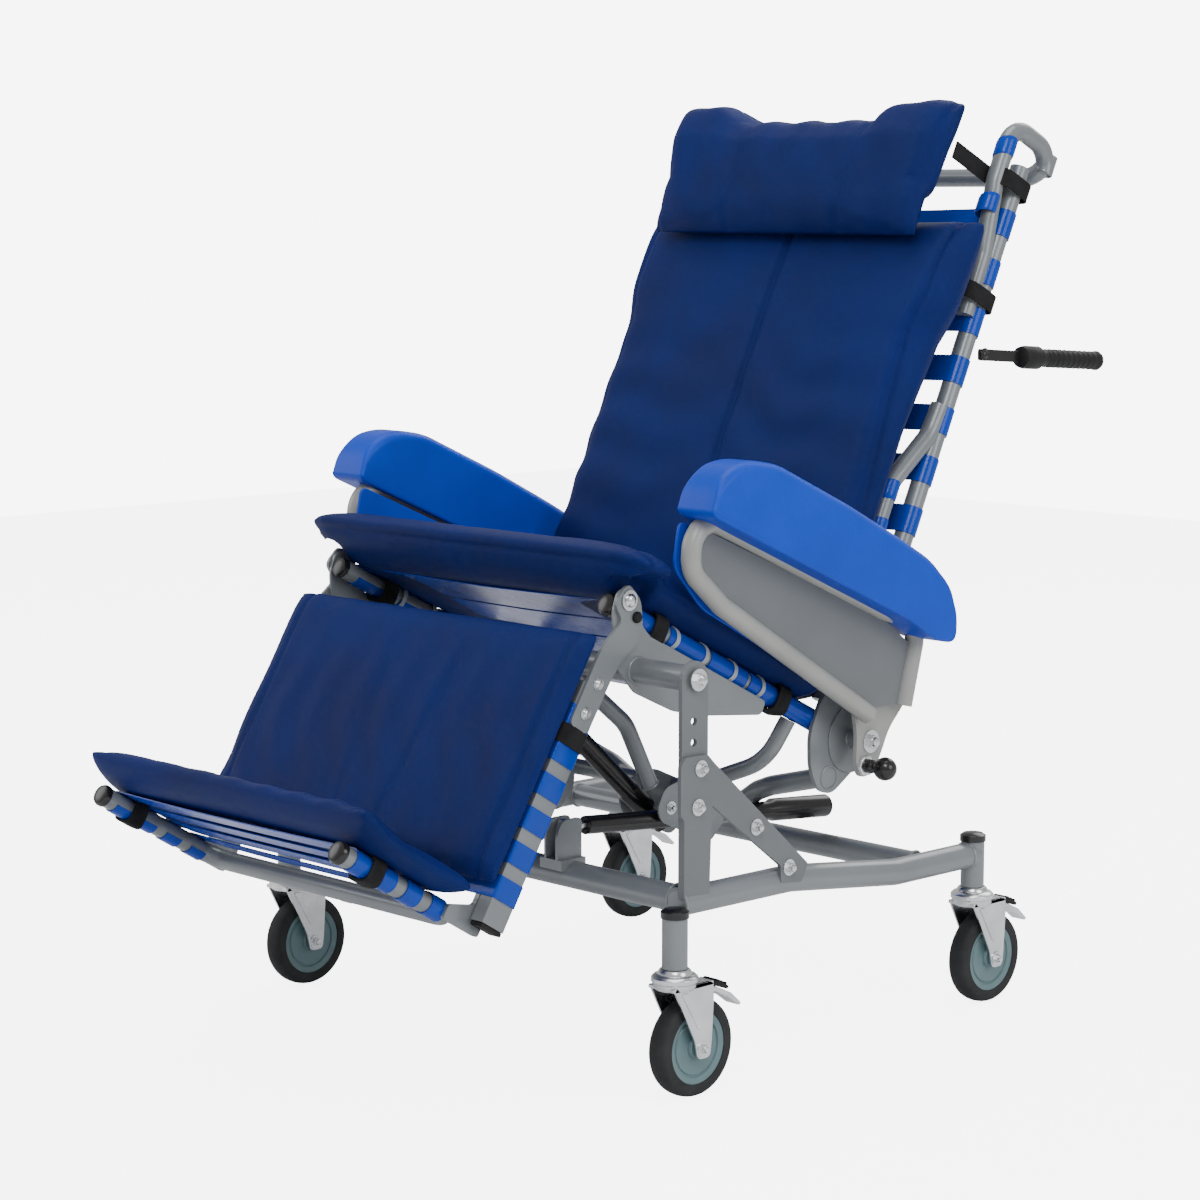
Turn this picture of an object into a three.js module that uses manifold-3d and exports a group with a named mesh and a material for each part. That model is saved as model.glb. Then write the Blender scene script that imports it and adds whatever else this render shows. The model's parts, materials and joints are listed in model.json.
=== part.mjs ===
// Patient recliner chair: a welded tube base on four braked casters, and a seat frame that tilts
// on two uprights. The back reclines, the leg rest lifts, the foot rest slides and the arms swing up.
// Millimetres, +Z up, the sitter faces -Y and the sitter's left is +X.
import * as THREE from "three";
import { mergeVertices } from "three/addons/utils/BufferGeometryUtils.js";
import Module from "manifold-3d";

const wasm = await Module();
wasm.setup();
const rad = THREE.MathUtils.degToRad;

// ---- driving dimensions -------------------------------------------------------------------------
const GAP = 0.3; // between pieces that touch
const RUN = 0.4; // radial clearance of a pin in its hole

const baseTube = 34.9; // outer diameter of rails and front cross tube
const rearTube = 31.75; // rear cross tube
const postTube = 31.75; // caster posts
const baseWall = 2.0;
const frameTube = 25.4; // seat, back, arm and foot tubes
const frameWall = 1.8;

const frontTrack = 750.6; // between the front caster posts
const rearTrack = 681.4; // between the rear caster posts
const wheelBase = 606.6; // front post to rear post
const postBottom = 164.6; // height of the posts' lower ends
const postTop = 232.6;
const railFrontZ = 240; // rail centre at the front corner
const railRearZ = 208; // and at the rear post
const railBendY = 222; // where a rail starts to drop
const crossFrontY = 33;
const crossRearY = 505;
const railInset = 13; // rail centre inside the front post's centre

const wheelDia = 125;
const wheelWidth = 30;
const casterTrail = 27.5;
const forkWall = 3;

const uprightWidth = 45;
const uprightThick = 6;
const gussetThick = 5;
const tiltY = 37; // tilt pivot
const tiltZ = 513;
const pivotPin = 12; // diameter of the tilt, recline and knee pins

const seatTilt = 26.8; // seat slope at rest, front up
const seatFrontY = 5; // front end of the seat tubes
const seatFrontZ = 595;
const seatSpacing = 514; // between the seat tubes' centres
const seatDepth = 476.3; // seat tube front end to recline pivot
const sheetThick = 4;

const legAngle = 58.4; // leg rest slope at rest, from the horizontal
const kneeY = 16;
const kneeZ = 602;
const strutWide = 21;
const strutDeep = 38;
const strutTop = 115; // from the knee pivot along the leg rest
const strutBottom = 432;
const footDrop = 438.8; // knee pivot to the foot tubes
const footLong = 219; // leg rest to the foot tubes' front ends
const footSpacing = 466.8;

const backAngle = 64.4; // back slope at rest, from the horizontal
const backSpacing = 514;
const backTube = frameTube + 1.6;
const backTall = 888; // pivot to the top of the push bar's bend
const plateThick = 6;

const armX = 321; // centre plane of the arm tube
const armPadIn = 301;
const armPadOut = 366;

const seatPadThick = 59;
const seatPadHalf = 299; // between the arms
const seatLipHalf = 326; // in front of them
const backPadThick = 54;
const backPadTop = 712;
const backPadHalf = 299;
const backShoulderHalf = 312;
const headPadHalf = 265;
const headPadTop = 862;
const calfPadHalf = 290;
const calfPadThick = 27;
const footPadHalf = 283;
const footPadThick = 45;

const lockX = 146; // tilt lock, left of the middle
const legLockX = 112;
const neckX = 142; // goosenecks and lock brackets
const backLockX = -112;
const lockRod = 10;

// ---- finishes -----------------------------------------------------------------------------------
const finish = (color, roughness, metalness = 0) =>
  new THREE.MeshStandardMaterial({ color, roughness, metalness });
const paint = finish(0xa9adae, 0.4);
const zinc = finish(0xc9cccd, 0.28, 1);
const blackPlastic = finish(0x161616, 0.5);
const wheelGrey = finish(0x6f9298, 0.45);
const padBlue = finish(0x0d52b8, 0.42);
const strapBlue = finish(0x0b49b5, 0.25);
const fabricBlue = finish(0x12275f, 0.75);

const chair = new THREE.Group();

// ---- shape helpers ------------------------------------------------------------------------------
// A closed geometry as a solid that can be joined and cut.
function solidOf(geometry) {
  const bare = new THREE.BufferGeometry();
  const open = geometry.index ? geometry.toNonIndexed() : geometry;
  bare.setAttribute("position", open.getAttribute("position"));
  const merged = mergeVertices(bare, 1e-3);
  const mesh = new wasm.Mesh({
    numProp: 3,
    vertProperties: merged.attributes.position.array,
    triVerts: new Uint32Array(merged.index.array),
  });
  return new wasm.Manifold(mesh);
}

// A solid back as a geometry.
function geometryOf(solid) {
  const { vertProperties, triVerts } = solid.getMesh();
  const geometry = new THREE.BufferGeometry();
  geometry.setAttribute("position", new THREE.BufferAttribute(vertProperties, 3));
  geometry.setIndex(new THREE.BufferAttribute(triVerts, 1));
  const flat = geometry.toNonIndexed();
  flat.computeVertexNormals();
  return flat;
}

const join = (...parts) => geometryOf(parts.map(solidOf).reduce((sum, s) => sum.add(s)));
const cut = (body, ...tools) => {
  const left = tools.map(solidOf).reduce((rest, tool) => rest.subtract(tool), solidOf(body));
  return geometryOf(left);
};

// Turns every face round if the geometry's signed volume is negative.
function facingOut(geometry) {
  const flat = geometry.index ? geometry.toNonIndexed() : geometry;
  const p = flat.getAttribute("position");
  const [a, b, c] = [new THREE.Vector3(), new THREE.Vector3(), new THREE.Vector3()];
  let volume = 0;
  for (let i = 0; i < p.count; i += 3) {
    a.fromBufferAttribute(p, i);
    b.fromBufferAttribute(p, i + 1);
    c.fromBufferAttribute(p, i + 2);
    volume += a.dot(b.cross(c));
  }
  if (volume > 0) return flat;
  for (let i = 0; i < p.count; i += 3) {
    b.fromBufferAttribute(p, i + 1);
    c.fromBufferAttribute(p, i + 2);
    p.setXYZ(i + 1, c.x, c.y, c.z);
    p.setXYZ(i + 2, b.x, b.y, b.z);
  }
  return flat;
}

// A centre line of straight runs and round bends, held as the stations where a tube has its rings.
class BentLine extends THREE.Curve {
  constructor(corners, bend) {
    super();
    const points = corners.map((c) => new THREE.Vector3(...c));
    const last = points.length - 1;
    const headings = points.slice(1).map((p, i) => p.clone().sub(points[i]).normalize());
    this.stations = [points[0]];
    this.tangents = [headings[0]];
    for (let i = 1; i < last; i++) {
      const turn = headings[i - 1].angleTo(headings[i]);
      const reach = bend * Math.tan(turn / 2);
      const axis = headings[i - 1].clone().cross(headings[i]).normalize();
      const start = points[i].clone().addScaledVector(headings[i - 1], -reach);
      const inward = axis.clone().cross(headings[i - 1]);
      const centre = start.clone().addScaledVector(inward, bend);
      const steps = Math.max(1, Math.ceil(turn / rad(30)));
      for (let k = 0; k <= steps; k++) {
        const angle = (turn * k) / steps;
        const arm = start.clone().sub(centre).applyAxisAngle(axis, angle);
        this.stations.push(centre.clone().add(arm));
        this.tangents.push(headings[i - 1].clone().applyAxisAngle(axis, angle));
      }
    }
    this.stations.push(points[last]);
    this.tangents.push(headings[last - 1]);
    this.count = this.stations.length - 1;
  }
  getPoint(t, target = new THREE.Vector3()) {
    return target.copy(this.stations[Math.round(t * this.count)]);
  }
  getPointAt(t, target) {
    return this.getPoint(t, target);
  }
  getTangentAt(t, target = new THREE.Vector3()) {
    return target.copy(this.tangents[Math.round(t * this.count)]);
  }
}

// The corners of a round section.
function ring(radius, sides) {
  const at = (i) => ((i + 0.5) * 2 * Math.PI) / sides;
  const place = (_, i) => new THREE.Vector2(radius * Math.cos(at(i)), radius * Math.sin(at(i)));
  return Array.from({ length: sides }, place);
}

// A round bar or tube along a bent line; a bore of 0 makes it solid.
function tube(corners, diameter, wall = 0, bend = 60, sides = 12) {
  const line = new BentLine(corners, bend);
  const shape = new THREE.Shape(ring(diameter / 2, sides));
  if (wall) shape.holes.push(new THREE.Path(ring(diameter / 2 - wall, 8)));
  const made = new THREE.ExtrudeGeometry(shape, { steps: line.count, extrudePath: line });
  return facingOut(made);
}

// A straight round bar between two points.
const bar = (from, to, diameter, sides = 16) => tube([from, to], diameter, 0, 1, sides);

// A sheet drawn in the Y-Z plane, from x0 to x1.
function sheetX(shape, x0, x1) {
  const made = new THREE.ExtrudeGeometry(shape, { depth: x1 - x0, bevelEnabled: false, curveSegments: 3 });
  return made.applyMatrix4(new THREE.Matrix4().set(0, 0, 1, x0, 1, 0, 0, 0, 0, 1, 0, 0, 0, 0, 0, 1));
}

// An outline from its corners, each rounded with the radius given.
function outline(corners, radius = 0) {
  const shape = new THREE.Shape();
  corners.forEach((corner, i) => {
    const here = new THREE.Vector2(...corner);
    const before = new THREE.Vector2(...corners.at(i - 1));
    const after = new THREE.Vector2(...corners[(i + 1) % corners.length]);
    const room = Math.min(here.distanceTo(before), here.distanceTo(after)) / 2.01;
    const trim = Math.min(radius, room);
    const start = here.clone().lerp(before, trim / here.distanceTo(before));
    const end = here.clone().lerp(after, trim / here.distanceTo(after));
    if (i === 0) shape.moveTo(start.x, start.y);
    else shape.lineTo(start.x, start.y);
    if (radius > 0) shape.quadraticCurveTo(here.x, here.y, end.x, end.y);
  });
  shape.closePath();
  return shape;
}

function box(x0, x1, y0, y1, z0, z1) {
  const made = new THREE.BoxGeometry(x1 - x0, y1 - y0, z1 - z0);
  return made.translate((x0 + x1) / 2, (y0 + y1) / 2, (z0 + z1) / 2);
}

// A turned piece: its profile of (radius, height) stands on +X.
function turnedX(profile, x, y, z, segments = 14) {
  const points = profile.map(([r, h]) => new THREE.Vector2(r, h));
  const made = new THREE.LatheGeometry(points, segments).rotateZ(-Math.PI / 2);
  return facingOut(made).translate(x, y, z);
}

function add(name, geometry, material, parent = chair) {
  const mesh = new THREE.Mesh(geometry, material);
  mesh.name = name;
  parent.add(mesh);
  return mesh;
}

// The same piece on both sides of the chair; the geometry given is the left one.
function addPair(name, geometry, material, parent = chair) {
  add(name + "_left", geometry, material, parent);
  add(name + "_right", geometry, material, parent).scale.set(-1, 1, 1);
}

// A frame that lies on a slope: local Y runs up the slope, local Z stands off it.
function slope(y, z, degrees) {
  const group = new THREE.Group();
  group.position.set(0, y, z);
  group.rotation.x = rad(degrees);
  chair.add(group);
  return group;
}
const seat = slope(seatFrontY, seatFrontZ, -seatTilt);
const leg = slope(kneeY, kneeZ, legAngle);
const legDown = [-Math.cos(rad(legAngle)), -Math.sin(rad(legAngle))];
const foot = slope(kneeY + footDrop * legDown[0], kneeZ + footDrop * legDown[1], legAngle - 90);
const reclineY = seatFrontY + seatDepth * Math.cos(rad(seatTilt));
const reclineZ = seatFrontZ - seatDepth * Math.sin(rad(seatTilt));
const back = slope(reclineY, reclineZ, backAngle);

// A world point (y, z) in a sloped frame.
function within(group, y, z) {
  const p = new THREE.Vector3(0, y, z).sub(group.position);
  p.applyAxisAngle(new THREE.Vector3(1, 0, 0), -group.rotation.x);
  return [p.y, p.z];
}

// ---- base ---------------------------------------------------------------------------------------
const frontX = frontTrack / 2;
const rearX = rearTrack / 2;
const railLine = [
  [frontX - railInset, crossFrontY - baseTube / 2, railFrontZ],
  [frontX - railInset - 4, railBendY, railFrontZ - 2],
  [rearX, crossRearY - 60, railRearZ],
  [rearX, wheelBase, railRearZ],
];
const boreLine = [[railLine[0][0], crossFrontY - baseTube / 2 + baseWall, railFrontZ], ...railLine.slice(1)];
const railFat = tube(railLine, baseTube + 2 * GAP, 0, 120, 16);
const postAt = (x, y, diameter, low, high) => bar([x, y, low], [x, y, high], diameter, 20);
const stemBore = 23;

function makeRail() {
  const outer = join(
    tube(railLine, baseTube, 0, 120, 16),
    postAt(frontX, 0, postTube, postBottom, postTop),
    postAt(rearX, wheelBase, postTube, postBottom, postTop),
  );
  const railBore = tube(boreLine, baseTube - 2 * baseWall, 0, 120, 10);
  const frontBore = postAt(frontX, 0, stemBore, postBottom - 1, postTop - 4);
  const rearBore = postAt(rearX, wheelBase, stemBore, postBottom - 1, postTop - 4);
  return cut(outer, railBore, frontBore, rearBore);
}
addPair("side_rail", makeRail(), paint);

// A cross tube whose ends are coped to fit the rails.
function crossTube(y, z, reach, diameter) {
  const pipe = tube([[-reach, y, z], [reach, y, z]], diameter, baseWall, 1, 16);
  const other = railFat.clone().scale(-1, 1, 1);
  return cut(pipe, railFat, facingOut(other));
}
add("front_cross_tube", crossTube(crossFrontY, railFrontZ, frontX - railInset, baseTube), paint);
add("rear_cross_tube", crossTube(crossRearY, railRearZ, rearX, rearTube), paint);

// Upright bar with its bolted A-shaped gusset outside it; both stand on the rail.
const uprightIn = 366;
const gussetIn = uprightIn + uprightThick;
const uprightOut = gussetIn + gussetThick;
function makeUpright() {
  const half = uprightWidth / 2;
  const barShape = outline(
    [
      [tiltY - half, railFrontZ + 5],
      [tiltY + half, railFrontZ + 5],
      [tiltY + half, tiltZ + half],
      [tiltY - half, tiltZ + half],
    ],
    0,
  );
  const crown = bar([uprightIn, tiltY, tiltZ], [gussetIn, tiltY, tiltZ], uprightWidth, 24);
  const square = box(uprightIn - 1, gussetIn + 1, tiltY - half - 1, tiltY + half + 1, tiltZ, tiltZ + half + 1);
  const strip = join(cut(sheetX(barShape, uprightIn, gussetIn), square), crown);
  const gusset = outline(
    [
      [8, 410],
      [16, 420],
      [54, 420],
      [66, 408],
      [236, 258],
      [224, 236],
      [186, 240],
      [186, 262],
      [62, 356],
      [58, 244],
      [14, 244],
      [14, 344],
      [8, 350],
    ],
    3,
  );
  const both = join(strip, sheetX(gusset, gussetIn - 0.5, uprightOut));
  const pinHole = bar([uprightIn - 5, tiltY, tiltZ], [uprightOut + 5, tiltY, tiltZ], pivotPin + 2 * RUN, 16);
  const heights = [436, 462];
  const spare = heights.map((z) => bar([uprightIn - 5, 35, z], [uprightOut + 5, 35, z], 10, 12));
  return cut(both, railFat, pinHole, ...spare);
}
addPair("upright", makeUpright(), paint);

// Shoulder bolt that the seat tilts on: head outside, shank through the upright and the seat's boss.
const tiltBolt = turnedX(
  [
    [0, 0],
    [pivotPin / 2, 0],
    [pivotPin / 2, 92],
    [11, 92],
    [11, 99],
    [8, 101],
    [0, 101],
  ],
  uprightIn - 80,
  tiltY,
  tiltZ,
);
addPair("tilt_bolt", tiltBolt, zinc);

// ---- locks: where each one pivots, in world Y and Z ---------------------------------------------
const along = (from, to) => {
  const gap = [to[0] - from[0], to[1] - from[1]];
  const length = Math.hypot(...gap);
  return { length, dir: gap.map((v) => v / length) };
};
const tiltEye = [crossFrontY + 1, 299]; // on the front cross tube
const tiltTrunnion = [262, 280]; // on the seat's lock bracket
const legEye = [-3, 485];
const legTrunnion = [196, 306];
const backEye = [375, 290]; // on the bowed tube
const backTrunnion = [134, 421]; // on the right gooseneck
const eyeWide = 14;
const clevisWall = 4;

// Two ears that hold a lock's eye between them; the eye is free to move between the ears.
function ears(x, shape) {
  const inner = eyeWide / 2 + 1.5;
  return [
    sheetX(shape, x - inner - clevisWall, x - inner),
    sheetX(shape, x + inner, x + inner + clevisWall),
  ];
}
const clevisShape = outline(
  [
    [crossFrontY - 24, railFrontZ + 8],
    [crossFrontY + 18, railFrontZ + 8],
    [crossFrontY + 18, tiltEye[1] + 12],
    [crossFrontY - 14, tiltEye[1] + 12],
    [crossFrontY - 24, tiltEye[1] - 4],
  ],
  7,
);
const footLow = railFrontZ + 8;
const clevisFoot = box(lockX - 20, lockX + 20, crossFrontY - 24, crossFrontY + 18, footLow, footLow + 13);
const crossFat = bar([-400, crossFrontY, railFrontZ], [400, crossFrontY, railFrontZ], baseTube + 2 * GAP, 16);
add("tilt_clevis", cut(join(...ears(lockX, clevisShape), clevisFoot), crossFat), paint);

// ---- casters ------------------------------------------------------------------------------------
const corners = {
  front_left: [frontX, 0],
  front_right: [-frontX, 0],
  rear_left: [rearX, wheelBase],
  rear_right: [-rearX, wheelBase],
};
const axleZ = wheelDia / 2;
const headTop = postBottom - GAP;
const forkTop = 145;
const legIn = wheelWidth / 2 + 4;

function makeFork() {
  const head = facingOut(
    new THREE.LatheGeometry(
      [
        [0, forkTop - 5],
        [25, forkTop - 5],
        [27, forkTop + 4],
        [29, forkTop + 7],
        [29, forkTop + 11],
        [22, forkTop + 14],
        [20, headTop],
        [10.5, headTop],
        [10.5, postTop - 14],
        [0, postTop - 14],
      ].map((p) => new THREE.Vector2(...p)),
      12,
    ).rotateX(Math.PI / 2),
  );
  const bridge = box(-legIn - forkWall, legIn + forkWall, -22, 44, forkTop - 6, forkTop);
  const side = outline(
    [
      [-22, forkTop],
      [44, forkTop],
      [44, forkTop - 22],
      [casterTrail + 12, axleZ + 4],
      [casterTrail + 10, axleZ - 10],
      [casterTrail - 8, axleZ - 10],
      [casterTrail - 12, axleZ + 12],
    ],
    4,
  );
  const legOut = legIn + forkWall;
  const plates = [sheetX(side, -legOut, -legIn), sheetX(side, legIn, legOut)];
  const axleOut = legOut + 5;
  const axle = bar([-axleOut, casterTrail, axleZ], [axleOut, casterTrail, axleZ], 10, 10);
  return join(head, bridge, ...plates, axle);
}

// Tyre and hub turned as one, with the axle hole through them.
function makeWheel() {
  const half = wheelWidth / 2;
  const r = wheelDia / 2;
  const profile = [
    [5 + RUN, -half],
    [14, -half],
    [14, -half + 5],
    [44, -half + 5],
    [46, -half + 1],
    [r - 6, -half + 1],
    [r, -half + 7],
    [r, half - 7],
    [r - 6, half - 1],
    [46, half - 1],
    [44, half - 5],
    [14, half - 5],
    [14, half],
    [5 + RUN, half],
    [5 + RUN, -half],
  ];
  return turnedX(profile, 0, casterTrail, axleZ, 18);
}

// Total-lock pedal, a tongue behind the fork head.
function makePedal() {
  const tongue = outline(
    [
      [46, 136],
      [56, 137],
      [100, 116],
      [103, 108],
      [96, 110],
      [54, 130],
      [46, 130],
    ],
    2,
  );
  return sheetX(tongue, -14, 14);
}

for (const [name, [x, y]] of Object.entries(corners)) {
  const place = new THREE.Group();
  place.position.set(x, y, 0);
  chair.add(place);
  add("caster_fork_" + name, makeFork(), zinc, place);
  add("wheel_" + name, makeWheel(), wheelGrey, place);
  add("brake_pedal_" + name, makePedal(), blackPlastic, place);
}

// ---- seat frame (local Y runs back along the seat, local Z stands off it) -----------------------
const seatX = seatSpacing / 2;
const tubeR = frameTube / 2;
const [tiltA, tiltH] = within(seat, tiltY, tiltZ);
const [kneeA, kneeH] = within(seat, kneeY, kneeZ);
const pinThrough = (x0, x1, a, h) => bar([x0, a, h], [x1, a, h], pivotPin + 2 * RUN, 16);

const seatTube = cut(
  tube([[seatX, 0, 0], [seatX, seatDepth + 14, 0]], frameTube, frameWall, 1, 14),
  pinThrough(seatX - 30, seatX + 30, seatDepth, 0),
);
addPair("seat_tube", seatTube, paint, seat);

// Side sheet under each seat tube. It carries the tilt boss and the knee stud.
const sheetIn = seatX + tubeR + 0.5;
const sheetOut = sheetIn + sheetThick;
const kneePlateOut = sheetOut + 5.5;
function makeSheet() {
  const shape = outline(
    [
      [kneeA - 17, kneeH + 4],
      [kneeA - 4, kneeH + 17],
      [kneeA + 18, kneeH + 12],
      [40, 5],
      [300, 5],
      [300, -30],
      [199, -70],
      [148, -83],
      [72, -86],
      [24, -66],
      [kneeA - 14, kneeH - 20],
    ],
    6,
  );
  const boss = bar([sheetOut - 1, tiltA, tiltH], [uprightIn - GAP, tiltA, tiltH], 32, 18);
  const bore = pinThrough(sheetIn - 5, uprightIn + 5, tiltA, tiltH);
  const stud = turnedX(
    [
      [0, 0],
      [pivotPin / 2, 0],
      [pivotPin / 2, kneePlateOut - sheetIn],
      [10, kneePlateOut - sheetIn],
      [10, kneePlateOut - sheetIn + 7],
      [0, kneePlateOut - sheetIn + 8],
    ],
    sheetIn + 1,
    kneeA,
    kneeH,
    16,
  );
  return join(cut(join(sheetX(shape, sheetIn, sheetOut), boss), bore), stud);
}
addPair("seat_side_sheet", makeSheet(), paint, seat);

// Torque tube between the sheets with two goosenecks that reach down to the lock brackets.
const bracketFront = 286;
const hoopA = 375;
const hoopTube = 22;
function makeTorqueFrame() {
  const reach = sheetIn - GAP;
  const torque = bar([-reach, tiltA, tiltH], [reach, tiltA, tiltH], 32, 16);
  const necks = [neckX, -neckX].map((x) =>
    tube(
      [
        [x, tiltA + 4, tiltH - 6],
        [x, 148, -84],
        [x, 205, -96],
        [x, bracketFront - 3, -152],
      ],
      hoopTube,
      0,
      60,
      10,
    ),
  );
  const [lugA, lugH] = within(seat, ...backTrunnion);
  const lug = bar([-neckX + 8, lugA, lugH], [backLockX - 15, lugA, lugH], 26, 12);
  return join(torque, ...necks, lug);
}
add("torque_tube", makeTorqueFrame(), paint, seat);

// Hoop from seat tube to seat tube, with the two brackets that the locks pivot in.
const bracketPlate = 3;
const bracketShape = outline(
  [
    [bracketFront, -152],
    [bracketFront + 40, -120],
    [398, -116],
    [412, -150],
    [400, -190],
    [300, -194],
    [bracketFront, -182],
  ],
  10,
);
function makeHoop() {
  const reach = seatX - 6;
  const line = [
    [reach, hoopA, -tubeR - 1],
    [reach - 14, hoopA, -74],
    [120, hoopA, -128],
    [-120, hoopA, -128],
    [14 - reach, hoopA, -74],
    [-reach, hoopA, -tubeR - 1],
  ];
  const plates = [legLockX - 19, lockX + 18, -neckX - 18, -neckX + 15].map((x) =>
    sheetX(bracketShape, x, x + bracketPlate),
  );
  const hoop = join(tube(line, hoopTube, 0, 60, 12), ...plates);
  const seatFat = bar([seatX, -10, 0], [seatX, seatDepth + 30, 0], frameTube + 2 * GAP, 14);
  const seatFatRight = bar([-seatX, -10, 0], [-seatX, seatDepth + 30, 0], frameTube + 2 * GAP, 14);
  return cut(hoop, seatFat, seatFatRight);
}
add("lock_hoop", makeHoop(), paint, seat);

// Recline pin with its spacer and the notched disc that the arm locks to.
const backTubeX = backSpacing / 2;
const plateIn = seatX + tubeR;
const plateOut = plateIn + plateThick;
const discThick = 2.5;
const armPlateIn = 303.5;
const armPlateOut = armPlateIn + 6;
const reclinePin = (() => {
  const pinR = pivotPin / 2;
  const start = seatX - tubeR - 3;
  const discIn = plateOut + GAP - start;
  const discOut = discIn + discThick;
  const sleeveOut = armPlateIn - GAP - start;
  const headIn = armPlateOut + GAP - start;
  return turnedX(
    [
      [0, 0],
      [pinR, 0],
      [pinR, discIn],
      [46, discIn],
      [46, discOut],
      [13, discOut],
      [13, sleeveOut],
      [pinR, sleeveOut],
      [pinR, headIn],
      [13, headIn],
      [13, headIn + 3],
      [9.5, headIn + 3],
      [9.5, headIn + 10],
      [0, headIn + 11],
    ],
    start,
    seatDepth,
    0,
    16,
  );
})();
addPair("recline_pin", reclinePin, zinc, seat);

const slingThick = 3;
const slingHalf = seatX - tubeR - 1;
add("seat_sling", box(-slingHalf, slingHalf, 22, seatDepth - 30, 0, slingThick), strapBlue, seat);

// Seat cushion: a thin lip in front, wider than the rest, which fits between the arms.
const padBase = tubeR + 2.3;
function makeSeatCushion() {
  const top = padBase + seatPadThick;
  const profile = outline(
    [
      [-4, padBase],
      [seatDepth - 36, padBase],
      [seatDepth - 36, top - 6],
      [300, top],
      [-30, top],
      [-54, top - 6],
      [-50, top - 18],
      [-24, top - 40],
    ],
    6,
  );
  const wide = sheetX(profile, -seatLipHalf, seatLipHalf);
  const spare = [
    box(seatPadHalf, seatLipHalf + 5, 26, seatDepth, 0, top + 10),
    box(-seatLipHalf - 5, -seatPadHalf, 26, seatDepth, 0, top + 10),
    box(seatX - tubeR - 1, seatLipHalf, 396, seatDepth, 0, top + 10),
    box(-seatLipHalf, 1 + tubeR - seatX, 396, seatDepth, 0, top + 10),
    bar([seatX + 11, kneeA, kneeH], [seatLipHalf + 5, kneeA, kneeH], 58, 20),
    bar([-seatLipHalf - 5, kneeA, kneeH], [-seatX - 11, kneeA, kneeH], 58, 20),
  ];
  return cut(wide, ...spare);
}
add("seat_cushion", makeSeatCushion(), fabricBlue, seat);

// ---- leg rest (local Y runs up to the knee, local Z faces forward) ------------------------------
const strutOut = sheetOut + 0.8;
const strutIn = strutOut - strutWide;
const strutFront = 13;
function makeLegSide() {
  const shape = new THREE.Shape([
    new THREE.Vector2(strutIn, strutFront - strutDeep),
    new THREE.Vector2(strutOut, strutFront - strutDeep),
    new THREE.Vector2(strutOut, strutFront),
    new THREE.Vector2(strutIn, strutFront),
  ]);
  const wall = 1.6;
  shape.holes.push(
    new THREE.Path([
      new THREE.Vector2(strutIn + wall, strutFront - strutDeep + wall),
      new THREE.Vector2(strutIn + wall, strutFront - wall),
      new THREE.Vector2(strutOut - wall, strutFront - wall),
      new THREE.Vector2(strutOut - wall, strutFront - strutDeep + wall),
    ]),
  );
  const long = new THREE.ExtrudeGeometry(shape, { depth: strutBottom - strutTop, bevelEnabled: false });
  // The strut's section stands on X and local Z, and is drawn down the slope.
  long.applyMatrix4(new THREE.Matrix4().set(1, 0, 0, 0, 0, 0, -1, -strutTop, 0, 1, 0, 0, 0, 0, 0, 1));
  const plate = outline(
    [
      [18, 12],
      [-14, 20],
      [-26, -4],
      [-60, 8],
      [-80, 11],
      [-172, 11],
      [-172, -22],
      [-96, -24],
      [-60, -30],
      [-40, -42],
      [-16, -38],
      [10, -18],
    ],
    9,
  );
  const joined = join(facingOut(long), sheetX(plate, sheetOut + 0.4, kneePlateOut - GAP));
  return cut(joined, bar([strutIn, 0, 0], [kneePlateOut + 9, 0, 0], pivotPin + 2 * RUN, 16));
}
addPair("leg_side", makeLegSide(), paint, leg);

// Ladder between the leg sides: two round rungs, two flats, and the ears for the leg lock.
const [legEyeA, legEyeH] = within(leg, ...legEye);
const rungH = -11;
function makeLegLadder() {
  const reach = strutIn - GAP;
  const rungs = [-150, -325].map((a) => bar([-reach, a, rungH], [reach, a, rungH], 20, 12));
  const flats = [-70, 70].map((x) => box(x - 10, x + 10, -325, -150, rungH - 2, rungH + 2));
  const ear = outline(
    [
      [legEyeA + 12, legEyeH + 8],
      [legEyeA + 10, legEyeH - 12],
      [legEyeA - 14, legEyeH - 12],
      [-162, rungH - 6],
      [-150, rungH + 6],
      [-138, rungH + 4],
    ],
    6,
  );
  return join(...rungs, ...flats, ...ears(legLockX, ear));
}
add("leg_ladder", makeLegLadder(), paint, leg);

const calfBack = strutFront + 3;
const calfTop = -55;
const calfBottom = -393;
const calfFront = calfBack + calfPadThick;
add("calf_cushion", box(-calfPadHalf, calfPadHalf, calfBottom, calfTop, calfBack, calfFront), fabricBlue, leg);

// ---- foot rest (local Y runs back to the leg rest, local Z stands up) ---------------------------
const footX = footSpacing / 2;
function makeFootFrame() {
  const loop = tube(
    [
      [footX, -footLong, 0],
      [footX, -22, 0],
      [-footX, -22, 0],
      [-footX, -footLong, 0],
    ],
    frameTube,
    frameWall,
    32,
    14,
  );
  const hook = outline(
    [
      [-52, -9],
      [11, -9],
      [11, 84],
      [-13, 84],
      [-13, 24],
      [-52, 9],
    ],
    5,
  );
  const left = sheetX(hook, footX + tubeR - 1.4, strutIn - 2);
  const right = sheetX(hook, 2 - strutIn, 1.4 - footX - tubeR);
  return join(loop, left, right);
}
add("foot_frame", makeFootFrame(), paint, foot);

function makeFootCushion() {
  const base = tubeR + 2.3;
  const top = base + footPadThick;
  const profile = outline(
    [
      [-calfBack - calfPadThick - 4, base],
      [-calfBack - calfPadThick - 4, top - 8],
      [-150, top - 12],
      [-228, top],
      [-247, top - 4],
      [-246, top - 16],
      [-214, base + 8],
      [-180, base],
    ],
    6,
  );
  return sheetX(profile, -footPadHalf, footPadHalf);
}
add("foot_cushion", makeFootCushion(), fabricBlue, foot);

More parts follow.
